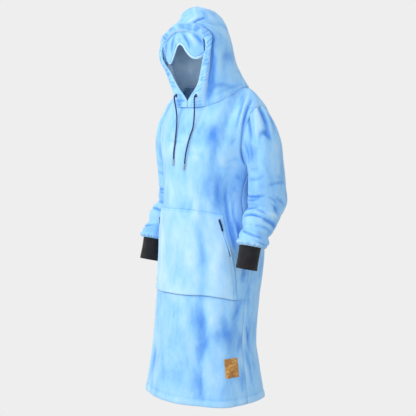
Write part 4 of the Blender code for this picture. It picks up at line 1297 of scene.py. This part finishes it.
def build_cuffs():
    lean = math.radians(SLEEVE["lean"][-1])
    down = np.array([0.0, -math.sin(lean), -math.cos(lean)])
    out = np.array([1.0, 0.0, 0.0])
    forward = np.cross(down, out)
    top = np.array([SLEEVE[name][-1] for name in "xyz"])
    turn, place = grid(
        np.linspace(0, 2 * math.pi, CUFF_RIBS * 10, endpoint=False), np.linspace(0, 1, 22)
    )
    rib = -RIB_HEIGHT * (0.5 - 0.5 * np.cos(CUFF_RIBS * turn)) ** 0.8
    waist = -CUFF_WAIST * np.sin(math.pi * place)
    soft = 0.0005 * np.sin(3 * turn + 5 * place) + 0.0004 * np.sin(5 * turn - 7 * place + 1)
    soft = soft * np.sin(math.pi * place)
    rounding = 0.0009 * (ramp(place, 0.05, 0.0) + ramp(place, 0.95, 1.0))
    around = np.cos(turn)[..., None] * out + np.sin(turn)[..., None] * forward
    skins = []
    for radius in (
        CUFF_RADIUS + waist + rib + soft - rounding,
        CUFF_RADIUS - CUFF_WALL + waist + soft + rounding * 0.6,
    ):
        skins.append(top + place[..., None] * CUFF_LENGTH * down + around * radius[..., None])
    for name, hand in SIDES.items():
        shift = np.array([0, 0, FOREARM_LIFT[hand]])
        moved = [(skin + shift) * (hand, 1, 1) for skin in skins]
        made = shell(f"cuff_{name}_knit", *moved, KNIT, ring=True)
        dress(made, f"cuff_{name}")


def build_hood():
    for name, hand in SIDES.items():
        for kind, lift, thick, look, columns, rows in (
            ("hood", 0.0, CLOTH, FLEECE, 76, 88),
            ("lining", -CLOTH - LIFT, LINING, LINING_LOOK, 44, 52),
        ):
            across, upward = grid(
                np.linspace(0, 1, columns + 1), np.linspace(0, 0.9999, rows + 1)
            )
            height = hood_relief(across, upward)
            inside = ramp(across, 0.0, 0.02) * ramp(across, 1.0, 0.98) * ramp(upward, 0, 0.02)
            skin = height * inside
            if kind == "hood":
                skin = skin + edge_roll(
                    (1 - across) * HOOD_SIZE[0], upward * HOOD_SIZE[1], across * HOOD_SIZE[0]
                )
            points = []
            for depth in (lift, lift - thick):
                grown = surface(hood, across, upward, skin + depth)
                grown[-1] = grown[-1].mean(axis=0)
                grown[..., 0] = np.maximum(grown[..., 0], 0)
                grown[:, -1, 0] = 0
                grown[-1, :, 0] = 0
                grown[..., 2] += HOOD_RAISE
                points.append(grown * (hand, 1, 1))
            points[1][0, :, 2] = np.maximum(points[1][0, :, 2], points[0][0, :, 2])
            points = [sag(skin) for skin in points]
            # Painted shade in the hood's troughs and painted light on its ridges.
            made = shell(f"{kind}_{name}_cloth", *points, look, painted_shading=painted_shading_from(height))
            dress(made, f"{kind}_{name}")


# How far the casing's outer edge stands off the hood, and its fuller roll over the forehead.
FLANGE = 0.0050
BROW = 0.0055
CASING_LENGTH = 0.36
GATHERS = 46
GATHER_SEED = 11
# How far the rim sinks on the wearer's right, and how far out it moves.
SAG = 0.024
SAG_OUT = 0.006


def sag(points):
    """The weight of the mask pulls the wearer's right side of the rim down and out."""
    x, y, z = points[..., 0], points[..., 1], points[..., 2]
    pull = ramp(-x, 0.004, 0.060) * ramp(z, 0.035, 0.125) * ramp(-y, 0.06, 0.145)
    move = np.stack([-SAG_OUT * pull, 0 * pull, -SAG * pull], axis=-1)
    return points + move


def casing_relief(across, along_it):
    """Gathers: the drawcord bunches the casing up in small slanted creases."""
    draw = np.random.default_rng(GATHER_SEED)
    total = np.zeros(across.shape)
    for number in range(GATHERS):
        middle = (number + draw.uniform(0.0, 1.0)) / GATHERS
        slant = draw.uniform(-0.02, 0.075)
        width = draw.uniform(0.0026, 0.0070)
        depth = draw.uniform(0.0003, 0.0021)
        start = draw.uniform(0.0, 0.35)
        end = draw.uniform(0.65, 1.0)
        off = (along_it - middle - slant * (across - 0.5)) * CASING_LENGTH / width
        reach = ramp(across, start - 0.15, start + 0.1) * ramp(across, end + 0.15, end - 0.1)
        total = total - depth * np.exp(-(off**2)) * reach
    return total


def build_casing():
    span = CASING_FORM["across"][-1]
    across, place = grid(np.linspace(0, span, 19), np.linspace(0, 1, 211))
    halves = {}
    for hand in (1, -1):
        gather = casing_relief(across, place if hand > 0 else 0.999 - place * 0.93)
        base = surface(casing, across, place, np.zeros_like(across)) * (hand, 1, 1)
        gather = gather * calm(base + (0, 0, HOOD_RAISE), EYELETS)
        gather = gather * ramp(across, 0.0, 0.1) * ramp(across, span, span - 0.1)
        skins = []
        for name in ("outer", "inner"):
            flange = FLANGE * ramp(across, 0.25, 0.75) * ramp(across, span, span - 0.06)
            flange = flange * ramp(place, 0.08, 0.22) * ramp(place, 0.86, 0.66)
            lift = casing_lift(across, name) + gather * (1.0 if name == "outer" else 0.4)
            brow = BROW * ramp(place, 0.60, 0.88) * np.sin(math.pi * np.clip(across / span, 0, 1))
            lift = lift + (flange + brow if name == "outer" else 0.0)
            grown = surface(casing, across, place, lift)
            grown[..., 0] = np.maximum(grown[..., 0], 0)
            grown[-1, :, 0] = 0.0
            grown[..., 2] += HOOD_RAISE
            seam_z = casing(across, place)[0, :, 2] + HOOD_RAISE
            grown[0, :, 2] = np.maximum(grown[0, :, 2], seam_z)
            skins.append(grown)
        halves[hand] = skins, gather
    outer, inner = [
        np.concatenate([halves[1][0][k], halves[-1][0][k][-2::-1] * (-1, 1, 1)]) for k in (0, 1)
    ]
    gather = np.concatenate([halves[1][1], halves[-1][1][-2::-1]])
    # Painted shade in the gathers, and the whole casing painted a little lighter: painted light on
    # the raised rim.
    made = shell(
        "hood_casing_cloth", sag(outer), sag(inner), FLEECE, painted_shading=painted_shading_from(gather * 2.5, 0.35)
    )
    dress(made, "hood_casing")


MASK_CREASES = table(
    "out height out_end height_end bow width height_of lean",
    [
        (0.012, 0.176, 0.040, 0.120, 0.006, 0.0050, -0.0022, 0.3),
        (0.030, 0.178, 0.060, 0.125, 0.008, 0.0060, 0.0016, 0.3),
        (0.050, 0.172, 0.078, 0.130, 0.006, 0.0050, -0.0018, 0.3),
        (-0.012, 0.176, -0.036, 0.122, -0.006, 0.0050, -0.0020, 0.3),
        (-0.046, 0.174, -0.070, 0.124, -0.006, 0.0055, -0.0018, 0.3),
        (0.006, 0.160, -0.008, 0.142, 0.002, 0.0040, -0.0014, 0.2),
    ],
)
BINDING = 0.0085
MASK_SPREAD = 0.010


def build_mask():
    """The padded mask: a bound edge, a sewn line inside it, and a soft crowned middle."""
    behind = casing_lift(MASK_TUCK, "inner") - MASK_EDGE_THICK / 2 - MASK_GAP
    rim = surface(casing, np.full(60, MASK_TUCK), np.linspace(0.45, 0.999, 60), behind)
    order = np.argsort(rim[:, 0])
    bend = np.linspace(-1, 1, 121)
    across, drop = grid(np.sin(bend * math.pi / 2) * 0.5 + bend * 0.5, np.linspace(0, 1, 61) ** 0.9)
    x = across * MASK_HALF_WIDTH
    spread = MASK_SPREAD * across * np.abs(across) * ramp(drop, 1.05, 0.75)
    top, top_y = [np.interp(np.abs(x), rim[order, 0], rim[order, k]) for k in (2, 1)]
    top = top + HOOD_RAISE
    low = read(MASK_EDGE, "height", np.abs(x))
    z = top + (low - top) * drop
    outline = np.concatenate([
        np.stack([x[-1], z[-1]], axis=-1),
        np.stack([x[:, 0], z[:, 0]], axis=-1),
        np.stack([x[:, -1], z[:, -1]], axis=-1),
    ])
    flat = np.stack([x, z], axis=-1).reshape(-1, 1, 2)
    edge = np.min(np.linalg.norm(flat - outline[None], axis=-1), axis=1).reshape(x.shape)
    to_top = drop * (top - low)
    near = np.minimum(edge, to_top + 0.004)
    binding = 0.0022 * np.sqrt(1 - np.clip(1 - near / (BINDING / 2), 0, 1) ** 2)
    stitched = 0.0012 * np.exp(-(((edge - BINDING) / 0.0014) ** 2))
    pad = MASK_FILL / 2 * ramp(near, BINDING * 0.9, 0.030) ** 0.7
    folds = creases(MASK_CREASES, x, z, (1.0, 1.0)) * ramp(edge, BINDING, BINDING * 2)
    half = 0.0005 + binding - stitched + pad
    hang_y = MASK_MIDDLE_Y + MASK_WRAP * across**2
    middle_y = top_y + (hang_y - top_y) * ramp(drop, 0, 0.6)
    outer = point(x + spread, middle_y - half - folds * 0.9, z)
    inner = point(x + spread, middle_y + half, z)
    # Painted light and shade: the folds painted lighter and darker, the sewn line darker, and the
    # bound edge lighter.
    bound = 0.55 * ramp(edge, BINDING * 1.05, BINDING * 0.8)
    tone = painted_shading_from(folds * 2 - stitched * 3, bound)
    made = shell("eye_mask_pad", sag(outer), sag(inner), MASK_FLEECE, painted_shading=tone)
    dress(made, "eye_mask")


def stitches(name, points, outs, look, length=0.0034, gap=0.0016, radius=0.00035):
    """Sewing thread in short runs along a line, each a six-sided spindle."""
    walked = np.append(0, np.cumsum(np.linalg.norm(np.diff(points, axis=0), axis=1)))
    corners, faces = [], []
    starts = np.arange(0.001, walked[-1] - length, length + gap)
    for start in starts:
        ends = [
            np.array([np.interp(start + part * length, walked, points[:, k]) for k in range(3)])
            for part in (0.0, 0.5, 1.0)
        ]
        out = np.array([np.interp(start, walked, outs[:, k]) for k in range(3)])
        out /= np.linalg.norm(out)
        run = ends[2] - ends[0]
        run /= np.linalg.norm(run)
        side = np.cross(run, out)
        base = len(corners)
        corners.append(ends[0] - out * radius)
        for angle in np.linspace(0, 2 * math.pi, 6, endpoint=False):
            ring = side * math.cos(angle) + out * (0.6 + math.sin(angle))
            corners.append(ends[1] + ring * radius)
        corners.append(ends[2] - out * radius)
        for i in range(6):
            j = (i + 1) % 6
            faces.append((base, base + 1 + j, base + 1 + i))
            faces.append((base + 7, base + 1 + i, base + 1 + j))
    made = add_mesh(name, np.array(corners), np.array(faces), look)
    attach(made, GARMENT)
    return made


def line_on(form, relief, share, level, lift):
    """A line of places on a form and the ways out of it."""
    share, level = np.broadcast_arrays(share, level)
    height = relief(share, level) + lift
    points = surface(form, share, level, height)
    return points, surface(form, share, level, height + 0.01) - points


def build_sewing():
    steps = np.linspace(-0.985, 0.985, 240)
    sewn = HEM + HEM_SEWN
    for name, form, relief in (("front", front, front_relief), ("back", back, back_relief)):
        points, outs = line_on(form, relief, steps, sewn, hem_band(sewn) + 0.0002)
        made = stitches(f"hem_thread_{name}", points, outs, THREAD)
    run = np.linspace(-0.96, 0.96, 160)
    share, level = pocket_place(run, np.full_like(run, 1 - POCKET_SEWN / POCKET_HEIGHT))
    points, outs = line_on(front, front_relief, share, level, POCKET_LIFT + CLOTH + 0.0004)
    stitches("pocket_thread_top", points, outs, THREAD)
    for name, hand in SIDES.items():
        rise = np.linspace(0.02, 0.96, 120)
        across = hand * (1 - POCKET_SEWN / POCKET_HALF_WIDTH)
        share, level = pocket_place(np.full_like(rise, across), rise)
        points, outs = line_on(front, front_relief, share, level, POCKET_LIFT + CLOTH + 0.0004)
        stitches(f"pocket_thread_{name}", points, outs, THREAD)


def welt(name, route, out):
    """A thin rolled seam: a tube of cloth that lies in the groove between two panels."""
    turn, step, ways = around_route(route, out, WELT_SIDES)
    # Painted shade: the tube is painted a little darker than the panels.
    tone = np.full(turn.size, WELT_PAINTED_SHADE)
    made = closed_ring(name, route[step] + ways * WELT_RADIUS, FLEECE, tone)
    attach(made, GARMENT)


def seam_route(form, across, along_it, depth):
    """A line just under a form's surface and the way out of it."""
    across, along_it = np.broadcast_arrays(across, along_it)
    points = surface(form, across, along_it, np.full(across.shape, -depth))
    return points, surface(form, across, along_it, np.zeros(across.shape)) - points


def build_seams():
    """The seams round the neck, the hood's rim and the armholes."""
    raised = np.array([0, 0, HOOD_RAISE])
    span = CASING_FORM["across"][-1]
    for name, hand in SIDES.items():
        mirror = (hand, 1, 1)
        route, out = seam_route(hood, np.linspace(0, 0.999, 90), 0.0, WELT_DEPTH)
        welt(f"seam_neck_{name}", (route + raised) * mirror, out * mirror)
        route, out = seam_route(casing, span, np.linspace(0.0, 0.99, 150), WELT_DEPTH)
        welt(f"seam_rim_{name}", sag((route + raised) * mirror), out * mirror)
        turn = np.linspace(0, 2 * math.pi, 91)
        route, out = seam_route(sleeve, turn, 0.0, WELT_DEPTH)
        welt(f"seam_armhole_{name}", route * mirror, out * mirror)
    route, out = seam_route(casing, np.linspace(0, span, 30), 0.0, WELT_DEPTH)
    for name, hand in SIDES.items():
        welt(f"seam_throat_{name}", (route + raised) * (hand, 1, 1), out * (hand, 1, 1))


PATCH_WIDTH = 0.046
PATCH_HEIGHT = 0.062
PATCH_SEWN = 0.003


def patch_place(across, rise):
    share = PATCH_SHARES[0] + (PATCH_SHARES[1] - PATCH_SHARES[0]) * across
    return share, PATCH_LEVELS[0] + (PATCH_LEVELS[1] - PATCH_LEVELS[0]) * rise


def build_patch():
    across, rise = grid(np.linspace(0, 1, 41), np.linspace(0, 1, 61))
    share, level = patch_place(across, rise)
    to_side = np.minimum(across, 1 - across) * PATCH_WIDTH
    edge = np.minimum(to_side, np.minimum(rise, 1 - rise) * PATCH_HEIGHT)
    dip = -0.0005 * np.exp(-(((edge - PATCH_SEWN) / 0.0008) ** 2))
    dip = dip - 0.0006 * ramp(edge, 0.0014, 0.0)
    soft = 0.0005 * np.sin(9 * across + 3 * rise) * np.sin(8 * rise + 1)
    base = front_relief(share, level) + PATCH_LIFT
    outer = surface(front, share, level, base + PATCH_THICK + dip + soft)
    inner = surface(front, share, level, base)
    made = shell("patch_leather", outer, inner, LEATHER)
    dress(made, "patch")
    low = np.array([PATCH_SEWN / PATCH_WIDTH, PATCH_SEWN / PATCH_HEIGHT])
    high = 1 - low
    sides = [(low[0], low[1]), (high[0], low[1]), (high[0], high[1]), (low[0], high[1])]
    for number, (start, end) in enumerate(zip(sides, sides[1:] + sides[:1])):
        part = np.linspace(0, 1, 40)
        share, level = patch_place(
            start[0] + (end[0] - start[0]) * part, start[1] + (end[1] - start[1]) * part
        )
        points, outs = line_on(front, front_relief, share, level, PATCH_LIFT + PATCH_THICK - 0.0002)
        made = stitches(f"patch_thread_{number}", points, outs, GOLD_THREAD, 0.0026, 0.0012)


CORD_STEPS = 260
CORD_SIDES = 24
BRAID_PITCH = 0.55


def build_cords():
    """Each free end is a braided tube that follows its solid's own route."""
    for name in SIDES:
        route = smooth_route(CORD_ROUTES[name], CORD_STEPS)
        turn, step, ways = around_route(route, (0.0, 1.0, 0.0), CORD_SIDES)
        braid = np.sin(3 * turn + step * BRAID_PITCH) * np.sin(3 * turn - step * BRAID_PITCH)
        radius = CORD_RADIUS * (0.97 + 0.05 * braid)
        points = route[step] + ways * radius[..., None]
        made = closed_ring(f"drawstring_{name}_braid", points, CORD)
        dress(made, f"drawstring_{name}")


def finish_hardware():
    """The kept solids get their finish."""
    looks = {"slider": NAVY_METAL, "pull": NAVY_METAL, "eyelet": NAVY_METAL, "tip": STEEL}
    for kind, look in looks.items():
        for name in SIDES:
            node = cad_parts[f"{kind}_{name}"]
            for slot in node.material_slots:
                slot.material = look


AIM = Vector((-0.0215, -0.0215, 0.0))
CAMERA_REACH = 4.0
CAMERA_PITCH = 5.84
FOCAL = 102.5
SENSOR = 36.0


def build_camera():
    lens = bpy.data.cameras.new("camera")
    lens.lens = FOCAL
    lens.sensor_width = SENSOR
    lens.clip_end = 50.0
    made = bpy.data.objects.new("camera", lens)
    bpy.context.scene.collection.objects.link(made)
    made.location = AIM + Vector((math.sqrt(0.5), -math.sqrt(0.5), 0.0)) * CAMERA_REACH
    made.rotation_euler = (math.radians(90 - CAMERA_PITCH), 0.0, math.radians(45))
    bpy.context.scene.camera = made


def area_light(name, place, size, power, colour=(1, 1, 1), aim=(0.0, 0.0, -0.4)):
    data = bpy.data.lights.new(name, "AREA")
    data.shape = "RECTANGLE"
    data.size, data.size_y = size
    data.energy = power
    data.color = colour
    made = bpy.data.objects.new(name, data)
    bpy.context.scene.collection.objects.link(made)
    made.location = place
    made.rotation_euler = (Vector(aim) - Vector(place)).to_track_quat("-Z", "Y").to_euler()


FLOOR_HALF = 12.0
FLOOR_LEVEL = -1.50
PALE = 0.855
SURROUND = 0.80


def build_studio():
    """A pale surround and broad soft lights."""
    scene = bpy.context.scene
    scene.view_settings.view_transform = "Standard"
    world = bpy.data.worlds.new("surround")
    world.use_nodes = True
    nodes, links = world.node_tree.nodes, world.node_tree.links
    backdrop = nodes["Background"]
    backdrop.inputs["Color"].default_value = (PALE, PALE, PALE, 1.0)
    rays = nodes.new("ShaderNodeLightPath")
    strength = nodes.new("ShaderNodeMix")
    strength.inputs[2].default_value = SURROUND
    strength.inputs[3].default_value = 1.0
    links.new(rays.outputs["Is Camera Ray"], strength.inputs[0])
    links.new(strength.outputs[0], backdrop.inputs["Strength"])
    scene.world = world
    area_light("key", (-2.0, -3.2, 1.5), (2.0, 2.2), 72)
    area_light("fill", (2.4, -2.8, 0.4), (1.4, 1.4), 22, aim=(0.0, 0.0, -0.1))
    area_light("inside", (0.55, -1.6, 0.10), (0.25, 0.25), 4.5, aim=(-0.05, -0.05, 0.09))
    area_light("top", (-0.6, 0.2, 3.0), (2.0, 2.0), 18)


def build_floor():
    around = [(-1, -1), (1, -1), (1, 1), (-1, 1)]
    corners = np.array([(x * FLOOR_HALF, y * FLOOR_HALF, FLOOR_LEVEL) for x, y in around])
    made, nodes, links, shader = principled("pale_floor")
    settle(shader, Base_Color=(0.70, 0.70, 0.70, 1.0), Roughness=0.9)
    glow = nodes.new("ShaderNodeEmission")
    glow.inputs["Color"].default_value = (PALE, PALE, PALE, 1.0)
    rays = nodes.new("ShaderNodeLightPath")
    pick = nodes.new("ShaderNodeMixShader")
    links.new(rays.outputs["Is Camera Ray"], pick.inputs["Fac"])
    links.new(shader.outputs["BSDF"], pick.inputs[1])
    links.new(glow.outputs["Emission"], pick.inputs[2])
    links.new(pick.outputs["Shader"], nodes["Material Output"].inputs["Surface"])
    floor = add_mesh("floor", corners, np.array([(0, 1, 2, 3)]), made)


build_camera()
build_cords()
build_studio()
build_floor()
build_body()
build_pocket()
build_zips()
build_patch()
sleeve_shells()
build_cuffs()
build_hood()
build_casing()
build_mask()
build_sewing()
build_seams()
finish_hardware()
